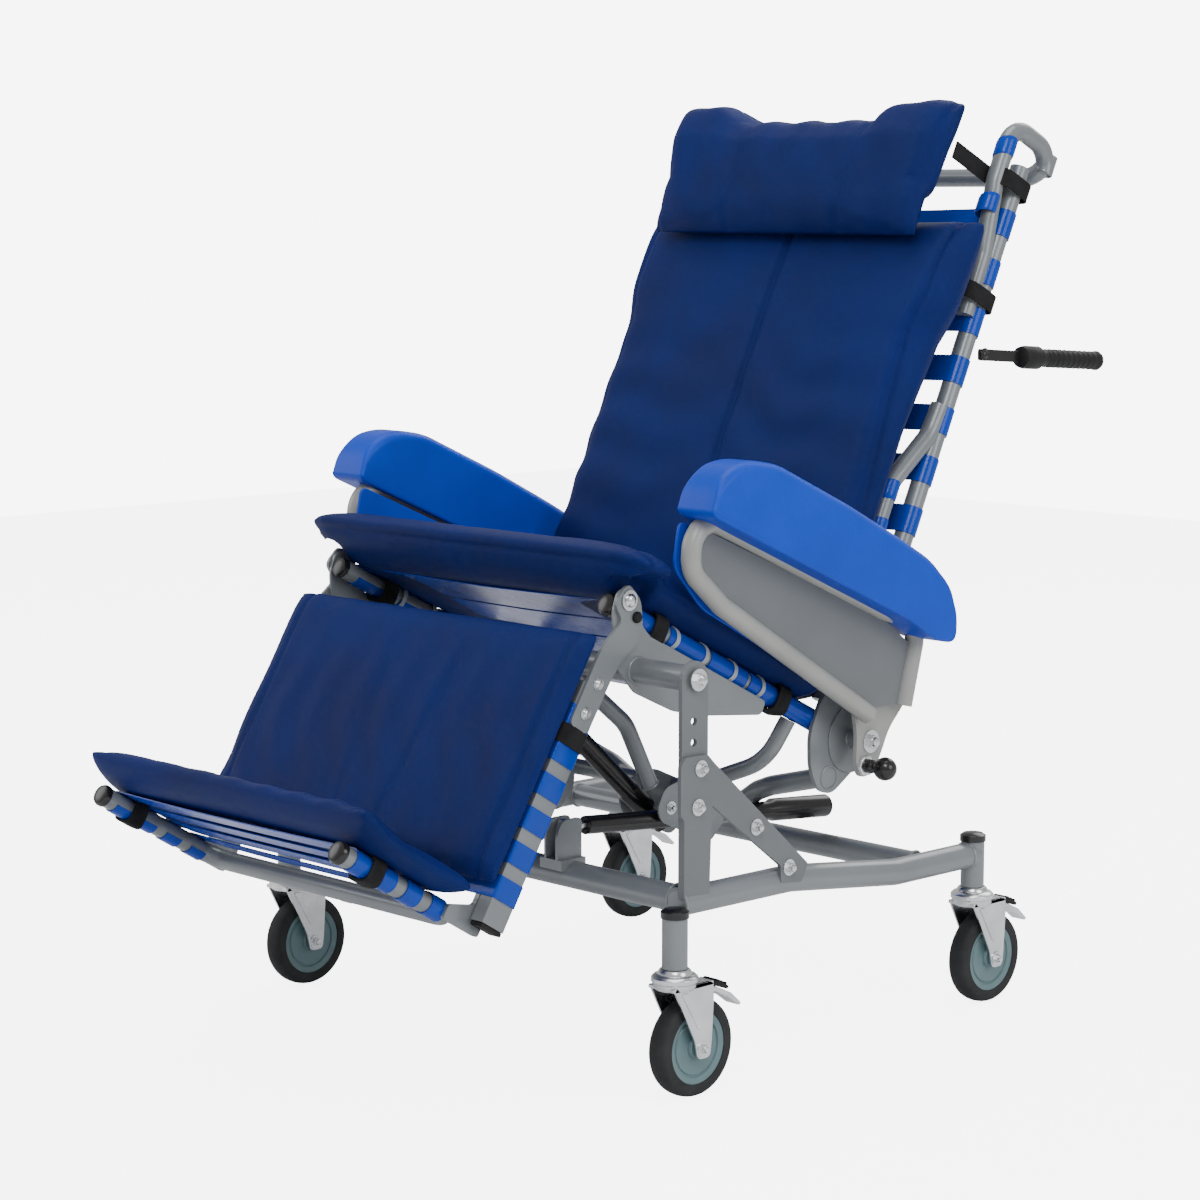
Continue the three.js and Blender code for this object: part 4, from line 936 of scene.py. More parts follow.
class RECLINER_OT_seat_frame(bpy.types.Operator):
    """Makes the seat tubes, torque tube, goosenecks, hoop, brackets and recline hardware"""

    bl_idname = "recliner.seat_frame"
    bl_label = "Seat frame"

    def execute(self, context):
        pipe = tube([[SEAT_X, 0, 0], [SEAT_X, 240, 0], [SEAT_X, SEAT_DEPTH + 14, 0]], TUBE_R)
        put_pair("seat_pipe", pipe, "seat", "paint", "frame_paint", SEAT, ["seat_tube_{}"])
        caps = merge(end_cap(SEAT_X, 0, 0, TUBE_R, -1), end_cap(SEAT_X, SEAT_DEPTH + 14, 0, TUBE_R, 1))
        put_pair("seat_pipe_caps", caps, "seat", "black gloss", "black_plastic", SEAT)
        necks = []
        for x in (NECK_X, -NECK_X):
            line = [[x, TILT_A + 4, TILT_H - 6], [x, 148, -84], [x, 205, -96], [x, BRACKET_FRONT - 3, -152]]
            necks.append(tube(line, HOOP_R, 60, 24))
            necks.append(weld((x, BRACKET_FRONT - 3, -152), (0, 0.82, -0.57), HOOP_R - 1))
        reach = SEAT_X + TUBE_R + 0.3
        torque = tube([[-reach, TILT_A, TILT_H], [0, TILT_A, TILT_H], [reach, TILT_A, TILT_H]], 16)
        lug_a, lug_h = SEAT.flat(*RECLINE_TRUNNION)
        lug = turned([[0, 0], [13, 0], [13, 7], [0, 7]], (8 - NECK_X, lug_a, lug_h), (1, 0, 0), 28)
        shell = merge(torque, lug, *necks)
        put("torque_tube_and_necks", shell, "seat", "paint", "frame_paint", SEAT, ["torque_tube"])
        reach = SEAT_X - 6
        line = [
            [reach, HOOP_A, -TUBE_R - 1], [reach - 14, HOOP_A, -74], [120, HOOP_A, -128],
            [-120, HOOP_A, -128], [14 - reach, HOOP_A, -74], [-reach, HOOP_A, -TUBE_R - 1],
        ]  # fmt: skip
        plates = [plate(BRACKET, x, x + 3, 12) for x in (93, 164, -NECK_X - 18, -NECK_X + 15)]
        hoop = merge(tube(line, HOOP_R, 60, 28), *plates)
        put("hoop_and_brackets", hoop, "seat", "paint", "frame_paint", SEAT, ["lock_hoop"], bevel=0.5)
        bolts = []
        for x, side in ((167, 1), (-NECK_X - 18, -1)):
            for a, h in ((BRACKET_FRONT + 22, -172), (390, -136)):
                bolts.append(hex_nut((x, a, h), (side, 0, 0), 11, 5))
        put("bracket_bolts", merge(*bolts), "seat", "zinc", "zinc", SEAT)
        start = SEAT_X - TUBE_R - 3
        profile = [
            [0, 0], [6, 0], [6, PLATE_OUT + 0.3 - start], [45, PLATE_OUT + 0.3 - start],
            [46, PLATE_OUT + 1.2 - start], [45, PLATE_OUT + 2.8 - start], [14, PLATE_OUT + 2.8 - start],
            [13, PLATE_OUT + 4 - start], [13, ARM_PLATE_IN - 0.3 - start],
            [6, ARM_PLATE_IN - 0.3 - start], [6, ARM_PLATE_OUT - start], [0, ARM_PLATE_OUT - start],
        ]  # fmt: skip
        pin = turned(profile, (start, SEAT_DEPTH, 0), (1, 0, 0), 48)
        nut = hex_nut((ARM_PLATE_OUT + 0.3, SEAT_DEPTH, 0), (1, 0, 0), 19, 8)
        put_pair("recline_pin_sleeve", pin, "seat", "paint", "zinc", SEAT, ["recline_pin_{}"])
        put_pair("recline_pin_nut", nut, "seat", "zinc", "zinc", SEAT)
        self.side_sheets()
        bolt = dome_bolt((280.2, KNEE_A, KNEE_H), (1, 0, 0), 8.5, 6)
        put_pair("knee_bolt", bolt, "seat", "zinc", "zinc", SEAT)
        profile = [[0, 0], [6, 0], [7, 2], [7, 8], [5.5, 10], [0, 10.4]]
        stop = turned(profile, (274.4, KNEE_A + 21, KNEE_H - 14), (1, 0, 0), 32)
        put_pair("knee_stop", stop, "seat", "black rubber", "black_plastic", SEAT)
        return {"FINISHED"}

    def side_sheets(self):
        """A sheet beside and below each seat tube, with the tilt boss and the knee stud on it."""
        lobe = [
            [KNEE_A - 17, KNEE_H + 4], [KNEE_A - 4, KNEE_H + 17], [KNEE_A + 18, KNEE_H + 12], [46, -6],
            [64, -13], [300, -13], [300, -32], [199, -70], [148, -83], [72, -86], [24, -66],
            [KNEE_A - 14, KNEE_H - 20],
        ]  # fmt: skip
        inner = SEAT_X + TUBE_R + 0.5
        sheet = plate(lobe, inner, inner + 4, 7)
        boss_end = 365.7
        boss = [
            [0, 0], [16, 0], [16, boss_end - inner - 5], [15, boss_end - inner - 4],
            [0, boss_end - inner - 4],
        ]  # fmt: skip
        barrel = turned(boss, (inner + 4, TILT_A, TILT_H), (1, 0, 0), 40)
        bead = weld((inner + 4, TILT_A, TILT_H), (1, 0, 0), 16)
        shell = merge(sheet, barrel, bead)
        put_pair("seat_side", shell, "seat", "paint", "frame_paint", SEAT, ["seat_side_sheet_{}"], bevel=0.6)
        stud = turned([[0, 0], [6, 0], [6, 9.5], [0, 9.5]], (inner + 4, KNEE_A, KNEE_H), (1, 0, 0), 24)
        put_pair("knee_stud", stud, "seat", "zinc", "zinc", SEAT)


class RECLINER_OT_straps(bpy.types.Operator):
    """Makes the straps, sleeves and ties of the seat, back, leg rest and foot rest"""

    bl_idname = "recliner.straps"
    bl_label = "Straps"

    def execute(self, context):
        s = sizes()
        first, last, gap = 26.0, SEAT_DEPTH - 42, 7.0
        width = (last - first) / s.seat_straps
        bands = []
        for i in range(s.seat_straps):
            a = first + i * width
            bands.append(strap_shell(SEAT_X, TUBE_R, a, a + width - gap, 4, 1.4, skew=-5))
        put("seat_straps", merge(*bands), "seat", "strap", "strap", SEAT, ["seat_sling"])
        low, high = 66.0, 792.0
        pitch = (high - low) / s.back_straps
        bands = []
        for i in range(s.back_straps):
            a = low + i * pitch
            bands.append(strap_shell(SEAT_X, BACK_R, a, a + pitch * 0.52, 5, 1.4, skew=4))
        put("back_straps", merge(*bands), "back", "strap", "strap", BACK, ["back_sling"])
        sleeves = [wrap_shell(SEAT_X, 41, TUBE_R, a, a + 26, 4) for a in (740, 824)]
        sleeves += [wrap_shell(SEAT_X, LUMBAR_SET, TUBE_R, a, a + 27, 4) for a in (96, 150, 204, 258, 312)]
        put_pair("back_sleeves", merge(*sleeves), "back", "strap", "strap", BACK)
        ties = [tie_shell(SEAT_X, 12, 17, 31, a, 24) for a in (618, 784)]
        put_pair("back_ties", merge(*ties), "back", "webbing", "black_plastic", BACK)
        hold = plate([[784, 28], [808, 28], [808, 124], [784, 124]], 244, 246.4, 0.4)
        put_pair("head_cushion_strap", hold, "back", "webbing", "black_plastic", BACK)
        low, high = -400.0, -128.0
        pitch = (high - low) / s.leg_straps
        bands = []
        for i in range(s.leg_straps):
            a = low + i * pitch
            bands.append(leg_band(a, a + pitch * 0.62))
        put("leg_straps", merge(*bands), "leg_rest", "strap", "strap", LEG)
        bands = []
        for i in range(4):
            a = -208 + i * 44
            bands.append(strap_shell(FOOT_X, TUBE_R, a, a + 26, 3, 1.4, skew=3))
        put("foot_straps", merge(*bands), "foot_rest", "strap", "strap", FOOT)
        tie = tie_shell(FOOT_X, 0, 15, 15, -182, 22)
        put_pair("foot_ties", tie, "foot_rest", "webbing", "black_plastic", FOOT)
        clips = [wrap_shell(SEAT_X, 0, TUBE_R + 2.2, a, a + 7, 5, 1.2) for a in (108, 166, 224, 282)]
        put_pair("seat_clips", merge(*clips), "seat", "grey strap", "strap", SEAT)
        ties = [tie_shell(SEAT_X, 0, 17, 17, a, 24) for a in (66, 318)]
        put_pair("seat_ties", merge(*ties), "seat", "webbing", "black_plastic", SEAT)
        return {"FINISHED"}


# ---- back frame ------------------------------------------------------------------------------------
RECLINE_PLATE = [
    [-20, 79], [-62, 58], [-84, 30], [-80, 4], [-52, -14], [-26, -30], [22, -32],
    [60, -12], [130, -2], [130, 20], [74, 40], [34, 78],
]  # fmt: skip
BACK_TALL = 888.0
BOW = (-61, 18.4)  # where the bowed lower tube meets the recline plates, (a, h)


class RECLINER_OT_back_frame(bpy.types.Operator):
    """Makes the back tubes, recline plates, push bar, bowed tube and handles"""

    bl_idname = "recliner.back_frame"
    bl_label = "Back frame"

    def execute(self, context):
        upright = tube([[SEAT_X, 40, 0], [SEAT_X, 430, 0], [SEAT_X, 828, 0]], BACK_R)
        lumbar = tube(
            [[SEAT_X, 30, LUMBAR_SET], [SEAT_X, 338, LUMBAR_SET], [SEAT_X, 426, 14], [SEAT_X, 470, 10]],
            TUBE_R, 60,
        )  # fmt: skip
        cheek = plate(RECLINE_PLATE, PLATE_IN, PLATE_OUT, 16, 8)
        ring = weld((PLATE_OUT, *BOW), (1, 0, 0), 15, 1.6)
        shell = merge(upright, lumbar, cheek, ring)
        put_pair("back_side_frame", shell, "back", "paint", "frame_paint", BACK, ["back_side_{}"])
        half = [
            [SEAT_X, 600, 18], [SEAT_X, 690, 20], [SEAT_X, 790, 41], [SEAT_X, BACK_TALL - TUBE_R, 41],
            [SEAT_X, BACK_TALL - TUBE_R, -50], [SEAT_X, BACK_TALL - 50, -50],
        ]  # fmt: skip
        line = half + [[-x, a, h] for x, a, h in half[::-1]]
        put("push_bar_tube", tube(line, TUBE_R, 32, 32), "back", "paint", "frame_paint", BACK, ["push_bar"])
        reach, bow_a, bow_h = PLATE_IN - 0.3, *BOW
        half = [
            [reach, bow_a, bow_h], [170, bow_a - 22, bow_h - 14], [140, bow_a - 30, bow_h - 24],
            [92, bow_a - 54, bow_h - 44],
        ]  # fmt: skip
        bow = tube(half + [[-x, a, h] for x, a, h in half[::-1]], BACK_R, 50, 32)
        eye_a, eye_h = BACK.flat(*RECLINE_EYE)
        ear = [
            [eye_a + 11, eye_h + 11], [eye_a - 11, eye_h + 11],
            [eye_a - 11, eye_h - 32], [eye_a + 11, eye_h - 32],
        ]  # fmt: skip
        ears = [plate(ear, x, x + 4, 8) for x in (-LOCK_X - 12.5, -LOCK_X + 8.5)]
        shell = merge(bow, *ears)
        put("bowed_lower_tube", shell, "back", "paint", "frame_paint", BACK, ["bowed_tube"])
        self.handles()
        return {"FINISHED"}

    def handles(self):
        """A flat bar bolted to each back tube, a hub, and a ribbed grip with an end cap."""
        top, middle, end = (686, 876), (768, 870), (950, 858)
        x = SEAT_X + BACK_R + 0.3
        length = math.hypot(end[0] - middle[0], end[1] - middle[1])
        along = ((end[0] - middle[0]) / length, (end[1] - middle[1]) / length)
        flat = [
            [top[0], top[1] + 8], [top[0], top[1] - 8], [middle[0] + 20, middle[1] - 9],
            [middle[0] + 20, middle[1] + 7],
        ]  # fmt: skip
        bar = plate(flat, x, x + 4, 4)
        bolt = dome_bolt((x + 4, top[0] + 10, top[1]), (1, 0, 0), 6, 4)
        grip = [[0, 6], [9, 6], [14.5, 9], [16, 16], [16, 44], [13, 50], [12, 56], [12.4, 62]]
        rib = np.linspace(62, length - 10, 49)
        grip += [[12.6 + 0.5 * math.sin(v * 0.55), v] for v in rib.tolist()]
        grip += [[13.4, length - 8], [13.8, length - 4], [12.5, length - 1], [8, length], [0, length]]
        shell = turned(grip, (x + 2, *middle), (0, *along), 36)
        put_pair("handle_grip", shell, "back", "black rubber", "black_plastic", stands_for=["handle_{}"])
        put_pair("handle_bar", merge(bar, bolt), "back", "black gloss", "black_plastic", bevel=0.6)


# ---- leg and foot rest -----------------------------------------------------------------------------
class RECLINER_OT_leg_frame(bpy.types.Operator):
    """Makes the leg ladder, end caps, foot tube and hooks"""

    bl_idname = "recliner.leg_frame"
    bl_label = "Leg and foot frame"

    def execute(self, context):
        rungs = [tube([[-254.5, a, -11], [0, a, -11], [254.5, a, -11]], 10, 30, 24) for a in (-150, -325)]
        flat = [[-325, -13], [-150, -13], [-150, -9], [-325, -9]]
        flats = [plate(flat, x - 10, x + 10, 0.5) for x in (-70, 70)]
        eye_a, eye_h = LEG.flat(*LEG_EYE)
        ear = [
            [eye_a + 12, eye_h + 8], [eye_a + 10, eye_h - 12], [eye_a - 14, eye_h - 12],
            [-162, -17], [-150, -5], [-138, -7],
        ]  # fmt: skip
        ears = [plate(ear, x, x + 4, 6) for x in (LOCK_X - 12.5, LOCK_X + 8.5)]
        shell = merge(*rungs, *flats, *ears)
        put("leg_ladder_frame", shell, "leg_rest", "paint", "frame_paint", LEG, ["leg_ladder"])
        cap = plate([[-432.5, -24], [-438, -24], [-438, 12], [-432.5, 12]], 255, 274.5, 1.5)
        put_pair("leg_tube_cap", cap, "leg_rest", "black rubber", "black_plastic", LEG, bevel=0.8)
        tie = tie_shell(264.8, -6, 12.5, 21.5, -196, 25)
        put_pair("leg_tie", tie, "leg_rest", "webbing", "black_plastic", LEG)
        screws = [dome_bolt((279.6, a, -6), (1, 0, 0), 5.5, 4) for a in (-110, -150)]
        put_pair("leg_plate_screws", merge(*screws), "leg_rest", "zinc", "zinc", LEG)
        line = [[FOOT_X, -219, 0], [FOOT_X, -22, 0], [-FOOT_X, -22, 0], [-FOOT_X, -219, 0]]
        hook = [[-52, -9], [11, -9], [11, 84], [-13, 84], [-13, 24], [-52, 9]]
        catch = plate(hook, 244.7, 252, 5)
        shell = merge(tube(line, TUBE_R, 32, 28), catch, mirrored(catch))
        put("foot_tube", shell, "foot_rest", "paint", "frame_paint", FOOT, ["foot_frame"])
        cap = end_cap(FOOT_X, -219, 0, TUBE_R, -1)
        put_pair("foot_tube_cap", cap, "foot_rest", "black gloss", "black_plastic", FOOT)
        return {"FINISHED"}


# ---- arms ------------------------------------------------------------------------------------------
KNOB = (418, 350)  # where the locking knob's shank goes through the arm plate, (y, z)


def pad_slope(y):
    """Height of the arm pad's underside."""
    return 704 - 0.44 * (y - 79)


class RECLINER_OT_arms(bpy.types.Operator):
    """Makes the arm tubes, panels, plates, moulded pads and locking knobs"""

    bl_idname = "recliner.arms"
    bl_label = "Arms"

    def execute(self, context):
        line = [
            [ARM_X, 480, 424], [ARM_X, 510, 536], [ARM_X, 440, pad_slope(440) + 8],
            [ARM_X, 150, pad_slope(150) + 8], [ARM_X, 84, pad_slope(84) + 6], [ARM_X, 80, 636],
            [ARM_X, 134, 588], [ARM_X, 412, 420],
        ]  # fmt: skip
        loop = tube(line, TUBE_R, 34, 28)
        panel = [
            [92, 690], [88, 645], [138, 594], [416, 428], [480, 428], [490, 506],
            [440, pad_slope(440) - 3],
        ]  # fmt: skip
        cheek = [
            [396, 430], [412, 448], [496, 444], [498, 424], [466, 392], [452, 362], [434, 336],
            [408, 334], [402, 356], [404, 392],
        ]  # fmt: skip
        shell = merge(loop, plate(cheek, ARM_PLATE_IN, ARM_PLATE_OUT, 14, 8))
        put_pair("arm_tube", shell, "arm_{}", "arm paint", "frame_paint", stands_for=["arm_frame_{}"])
        put_pair("arm_panel", plate(panel, ARM_X - 1.5, ARM_X + 1.5, 6), "arm_{}", "panel", "frame_paint")
        self.pads()
        self.knobs()
        return {"FINISHED"}

    def knobs(self):
        """The locking knob: a shank and collar under a ball, with a nut round the collar."""
        neck = ARM_PLATE_OUT - ARM_PLATE_IN
        shank = [
            [0, 0], [4, 0], [4, neck + 2], [9, neck + 2], [9.4, neck + 4], [9, neck + 15], [6, neck + 18],
        ]  # fmt: skip
        ball_r = 15.5
        t = np.linspace(-1.15, np.pi / 2, 20)
        ball = np.stack([ball_r * np.cos(t), neck + 36 + ball_r * np.sin(t)], -1)
        ball[-1, 0] = 0
        knob = turned([*shank, *ball.tolist()], (ARM_PLATE_IN + 0.2, *KNOB), (1, 0, 0), 40)
        nodes = ["arm_knob_{}"]
        put_pair("arm_knob_ball", knob, "knob_{}", "black gloss", "black_plastic", stands_for=nodes)
        ring = [[9.6, 0], [15, 0], [15, 5], [13, 6.5], [9.6, 6.5], [9.6, 0]]
        nut = turned(ring, (ARM_PLATE_OUT, *KNOB), (1, 0, 0), 6)
        put_pair("knob_nut", nut, "arm_{}", "zinc", "zinc", bevel=0.4)

    def pads(self):
        """The moulded pad: its side-view outline carried across x, drawn in near both faces along a
        quarter circle, so that every edge is a round: a small one below and a large one on top."""
        outline = rounded(
            [
                [74, 711], [86, 744], [112, 765], [150, 770], [196, 762], [330, 702], [430, 652], [486, 622],
                [522, 588], [539, 541], [536, 505], [494, 513], [445, pad_slope(445)], [79, pad_slope(79)],
            ],
            17, 8,
        )  # fmt: skip
        centre = outline.mean(0)
        step = np.roll(outline, -1, 0) - np.roll(outline, 1, 0)
        normal = np.stack([step[:, 1], -step[:, 0]], -1)
        normal /= np.linalg.norm(normal, axis=1, keepdims=True)
        if np.mean(np.sum(normal * (outline - centre), 1)) < 0:
            normal = -normal
        round_r = 4.0 + 9.0 * smooth_step(normal[:, 1], 0.2, 0.9)
        turns = np.linspace(0, np.pi / 2, 8)
        rounds = [(round_r * (1 - math.sin(t)), round_r * (1 - math.cos(t))) for t in turns]
        n, width = len(outline), PAD_OUT - PAD_IN
        stations = [(PAD_IN + across, inset) for inset, across in rounds]
        stations += [(PAD_IN + width * share, np.zeros(n)) for share in (0.35, 0.5, 0.65)]
        stations += [(PAD_OUT - across, inset) for inset, across in rounds[::-1]]
        layers = []
        for x, inset in stations:
            flat = outline - normal * inset[:, None]
            layers.append(np.column_stack([np.broadcast_to(x, n), flat]))
        faces = grid_faces(len(layers), n, close_cols=True)
        faces.append(list(range(n))[::-1])
        faces.append(list(range((len(layers) - 1) * n, len(layers) * n)))
        shell = np.concatenate(layers), faces
        put_pair("arm_pad_foam", shell, "arm_{}", "arm foam", "pad_skin", stands_for=["arm_pad_{}"])
        liner = [
            [76, 698], [66, 640], [116, 584], [392, 436], [404, 452], [490, 450], [492, 504],
            [440, pad_slope(440) - 5],
        ]  # fmt: skip
        sheet = plate(liner, PAD_IN + 1, PAD_IN + 5.5, 14, 6)
        nodes = ["arm_liner_{}"]
        put_pair("arm_liner_sheet", sheet, "arm_{}", "arm foam", "pad_skin", stands_for=nodes, bevel=1.5)


# ---- locks -----------------------------------------------------------------------------------------
BORE = 5.8
LOCKS = {  # name: x, eye, trunnion, length of the rod, and the (radius, distance) steps of the sleeve
    "tilt": (146, TILT_EYE, TILT_TRUNNION, 380,
             [[12, 34], [12, 196], [14, 200], [14, 262], [12, 266], [12, 376], [15.5, 384], [15.5, 494]]),
    "leg": (LOCK_X, LEG_EYE, LEG_TRUNNION, 250,
            [[13, 60], [13, 240], [15, 244], [15, 285], [11, 290], [11, 330]]),
    "recline": (-LOCK_X, RECLINE_EYE, RECLINE_TRUNNION, 190,
                [[12, 90], [12, 190], [14, 194], [14, 262], [12, 266], [12, 330]]),
}  # fmt: skip


class RECLINER_OT_locks(bpy.types.Operator):
    """Makes the three mechanical locks"""

    bl_idname = "recliner.locks"
    bl_label = "Locks"

    def execute(self, context):
        for name, (x, eye, trunnion, rod_end, steps) in LOCKS.items():
            run = np.array([0, trunnion[0] - eye[0], trunnion[1] - eye[1]], float)
            length = float(np.linalg.norm(run))
            run /= length
            base = (x, *eye)
            (first_r, start), (last_r, end) = steps[0], steps[-1]
            profile = [[BORE, start], [first_r - 1, start], [first_r, start + 0.8], *steps[1:-1]]
            profile += [[last_r, end - 3], [last_r - 3, end], [0, end]]
            inner = [[0, end - 6], [BORE, end - 6], [BORE, start]]
            sleeve = turned([*profile, *inner], base, run, 40)
            centre = np.array(base) + run * length
            pins = turned([[0, -13.4], [4.5, -13.4], [4.5, 13.4], [0, 13.4]], centre, (1, 0, 0), 20)
            nodes = [f"{name}_lock_body"]
            shell = merge(sleeve, pins)
            put(f"{name}_lock_sleeve", shell, f"{name}_lock", "black gloss", "lock_black", stands_for=nodes)
            rod = turned([[0, 0], [5, 0], [5, rod_end - 2], [3, rod_end], [0, rod_end]], base, run, 28)
            disc = [[0, -7], [9.2, -7], [10, -6], [10, 6], [9.2, 7], [0, 7]]
            shaft = merge(rod, turned(disc, base, (1, 0, 0), 36))
            nodes = [f"{name}_lock_rod"]
            put(f"{name}_lock_shaft", shaft, f"{name}_rod", "zinc", "zinc", stands_for=nodes)
        return {"FINISHED"}


# ---- cushions --------------------------------------------------------------------------------------
def flat_top(line):
    """A height read along a from the (a, h) pairs given, the same at every x."""
    points = np.asarray(line, float)
    return lambda x, a: np.interp(a, points[:, 0], points[:, 1])


class RECLINER_OT_seat_cushion(bpy.types.Operator):
    """Makes the seat cushion, with its front lip curled down over the knees"""

    bl_idname = "recliner.seat_cushion"
    bl_label = "Seat cushion"

    def execute(self, context):
        top = flat_top([[-54, 66], [-44, 70], [-26, 73], [40, 73], [300, 72], [400, 69], [440, 66]])
        under = flat_top([[-54, 42], [-44, 36], [-24, 28], [6, 18], [40, 16], [440, 16]])

        def bottom(x, a):
            over_knee = smooth_step(np.abs(x), 254, 266) * (1 - smooth_step(np.abs(a - 7), 26, 38))
            return np.maximum(under(x, a), 43 * over_knee)

        def half(a):
            wide = 325 - 29 * smooth_step(a, 16, 40) - 3 * np.sin(np.clip((a - 30) / 350, 0, 1) * np.pi)
            return wide - 56 * smooth_step(a, 376, 402)

        points, faces = pad_shell(-53, 439, half, top, bottom, 110, 120, edge=12.0)
        turn_in = np.clip((np.abs(points[:, 0]) - 268) / 58, 0, 1)
        front_end = 1 - smooth_step(points[:, 1], -53, 30)
        points[:, 1] += 40 * (1 - np.sqrt(1 - turn_in**2 * 0.98)) * front_end
        seam = seam_depth()

        def marks(x, a, h, front):
            lip = -seam * 1.8 * bump_at(a, -4, 10) * front
            channel = -seam * 1.2 * bump_at(a, 44, 8) * front
            ends = -1.2 * bump_at(np.abs(x), 292, 8) * front * smooth_step(a, 20, 60)
            soft = 1.5 * ripple(x, a, 70, 0.35, 2.1) * smooth_step(a, 40, 120)
            tuck = -1.6 * bump_at(h, 42, 3.5) * (1 - front)
            return lip + channel + ends + soft * front + tuck

        cushion("seat_pad", (points, faces), SEAT, "seat", "seat_cushion", swell() * 0.7, marks)
        return {"FINISHED"}


class RECLINER_OT_back_cushion(bpy.types.Operator):
    """Makes the back cushion, with a centre seam and bordered sides"""

    bl_idname = "recliner.back_cushion"
    bl_label = "Back cushion"

    def execute(self, context):
        top = flat_top([[78, 120], [110, 125], [400, 126], [600, 125], [712, 119]])
        bottom = flat_top([[78, 74], [400, 74], [520, 57], [712, 51]])

        def half(a):
            return 297 + 14 * smooth_step(a, 520, 596) - 6 * np.sin(np.clip((a - 79) / 632, 0, 1) * np.pi)

        shell = pad_shell(79, 711, half, top, bottom, 130, 120, edge=12.0)
        seam = seam_depth()

        def marks(x, a, h, front):
            rim = half(a) - np.abs(x)
            ends = smooth_step(a, 84, 110) * (1 - smooth_step(a, 700, 711))
            centre = -seam * 2.6 * bump_at(x, 0, 6.0) * ends
            border = -seam * 2.2 * bump_at(rim, 14 + 22 * smooth_step(a, 150, 640), 6.0)
            soft = 2.4 * ripple(x, a, 84, 0.2, 0.7) * (1 - smooth_step(a, 420, 600))
            crease = -2.2 * bump_at(a, 212 + 0.08 * x, 9) * smooth_step(x, 60, 220)
            crease += -1.8 * bump_at(a, 268 - 0.05 * x, 8) * smooth_step(x, 120, 260)
            return (centre + border + soft + crease) * front + 1.2 * bump_at(h, 100, 12) * (1 - front)

        cushion("back_pad", shell, BACK, "back", "back_cushion", swell(), marks)
        return {"FINISHED"}


class RECLINER_OT_head_cushion(bpy.types.Operator):
    """Makes the head cushion, with a raised wing at each end"""

    bl_idname = "recliner.head_cushion"
    bl_label = "Head cushion"

    def execute(self, context):
        crown = flat_top([[650, 152], [662, 162], [700, 172], [790, 186], [840, 178], [861, 164]])
        bottom = flat_top([[650, 130], [716, 129], [730, 114], [861, 112]])

        def half(a):
            return 250 + 10 * smooth_step(a, 660, 850)

        def top(x, a):
            wing = smooth_step(np.abs(x), 120, 190)
            return crown(x, a) - 12 * (1 - wing) * smooth_step(a, 730, 861)

        points, faces = pad_shell(651, 861, half, top, bottom, 100, 120, edge=9.0)
        high = smooth_step(points[:, 1], 760, 861)
        dip = 1 - smooth_step(np.abs(points[:, 0]), 95, 175)
        points[:, 1] -= high * 20 * dip
        seam = seam_depth()

        def marks(x, a, h, front):
            folds = -2.6 * bump_at(x, 118 + 0.10 * (a - 750), 9) - 2.0 * bump_at(x, -96, 10)
            folds += -1.6 * bump_at(x, 18, 9) * smooth_step(a, 740, 800)
            rim = half(a) - np.abs(x)
            border = -seam * 1.1 * bump_at(rim, 12, 5.0)
            soft = 2.0 * ripple(a, x, 74, 0.25, 1.3)
            welt = -seam * bump_at(h, 142, 3.5) * (1 - front)
            return (folds + border + soft) * front + welt

        cushion("head_pad", (points, faces), BACK, "back", "head_cushion", swell() * 0.8, marks)
        return {"FINISHED"}


class RECLINER_OT_leg_cushions(bpy.types.Operator):
    """Makes the calf cushion and the foot cushion"""

    bl_idname = "recliner.leg_cushions"
    bl_label = "Leg cushions"

    def execute(self, context):
        top = flat_top([[-393, 38], [-370, 42], [-80, 42], [-56, 39]])
        bottom = flat_top([[-393, 17], [-56, 17]])

        def half(a):
            return 288 + 0 * a

        shell = pad_shell(-392, -56, half, top, bottom, 90, 120, edge=12.0)
        seam = seam_depth()

        def calf(x, a, h, front):
            rim = 286 - np.abs(x)
            border = -seam * 1.5 * bump_at(rim, 30, 5.0)
            soft = 1.8 * ripple(a, x, 66, 0.15, 4.2)
            folds = -2.2 * bump_at(x, 96 + 0.12 * a, 8) - 1.8 * bump_at(x, -60 - 0.1 * a, 9)
            return (border + soft + folds * (1 - smooth_step(a, -160, -80))) * front

        cushion("calf_pad", shell, LEG, "leg_rest", "calf_cushion", swell() * 0.3, calf)
        top = flat_top([[-246, 58], [-228, 60], [-205, 55], [-150, 48], [-90, 50], [-48, 53]])
        bottom = flat_top([[-246, 36], [-228, 25], [-200, 18], [-180, 15.5], [-48, 15.5]])

        def toe(a):
            return 281 - 6 * smooth_step(-a, 200, 246)

        shell = pad_shell(-246, -48, toe, top, bottom, 80, 120, edge=10.0)

        def foot(x, a, h, front):
            rim = toe(a) - np.abs(x)
            border = -seam * 0.8 * bump_at(rim, 26, 4.0)
            roll = -seam * 1.2 * bump_at(a, -196, 8)
            soft = 1.6 * ripple(a, x, 60, 0.2, 3.0)
            return (border + roll + soft) * front

        cushion("foot_pad", shell, FOOT, "foot_rest", "foot_cushion", swell() * 0.3, foot)
        return {"FINISHED"}


# ---- what shows of the frame itself ----------------------------------------------------------------
KEPT = {
    "upright_left": "panel", "upright_right": "panel", "tilt_clevis": "paint",
    "leg_side_left": "paint", "leg_side_right": "paint",
}  # fmt: skip


class RECLINER_OT_kept_frame(bpy.types.Operator):
    """Gives the sheet parts that show as they are their finish"""

    bl_idname = "recliner.kept_frame"
    bl_label = "Sheet parts"

    def execute(self, context):
        for node, name in KEPT.items():
            thing = bpy.data.objects[node]
            for slot in thing.material_slots:
                slot.material = FINISH[name]
        return {"FINISHED"}


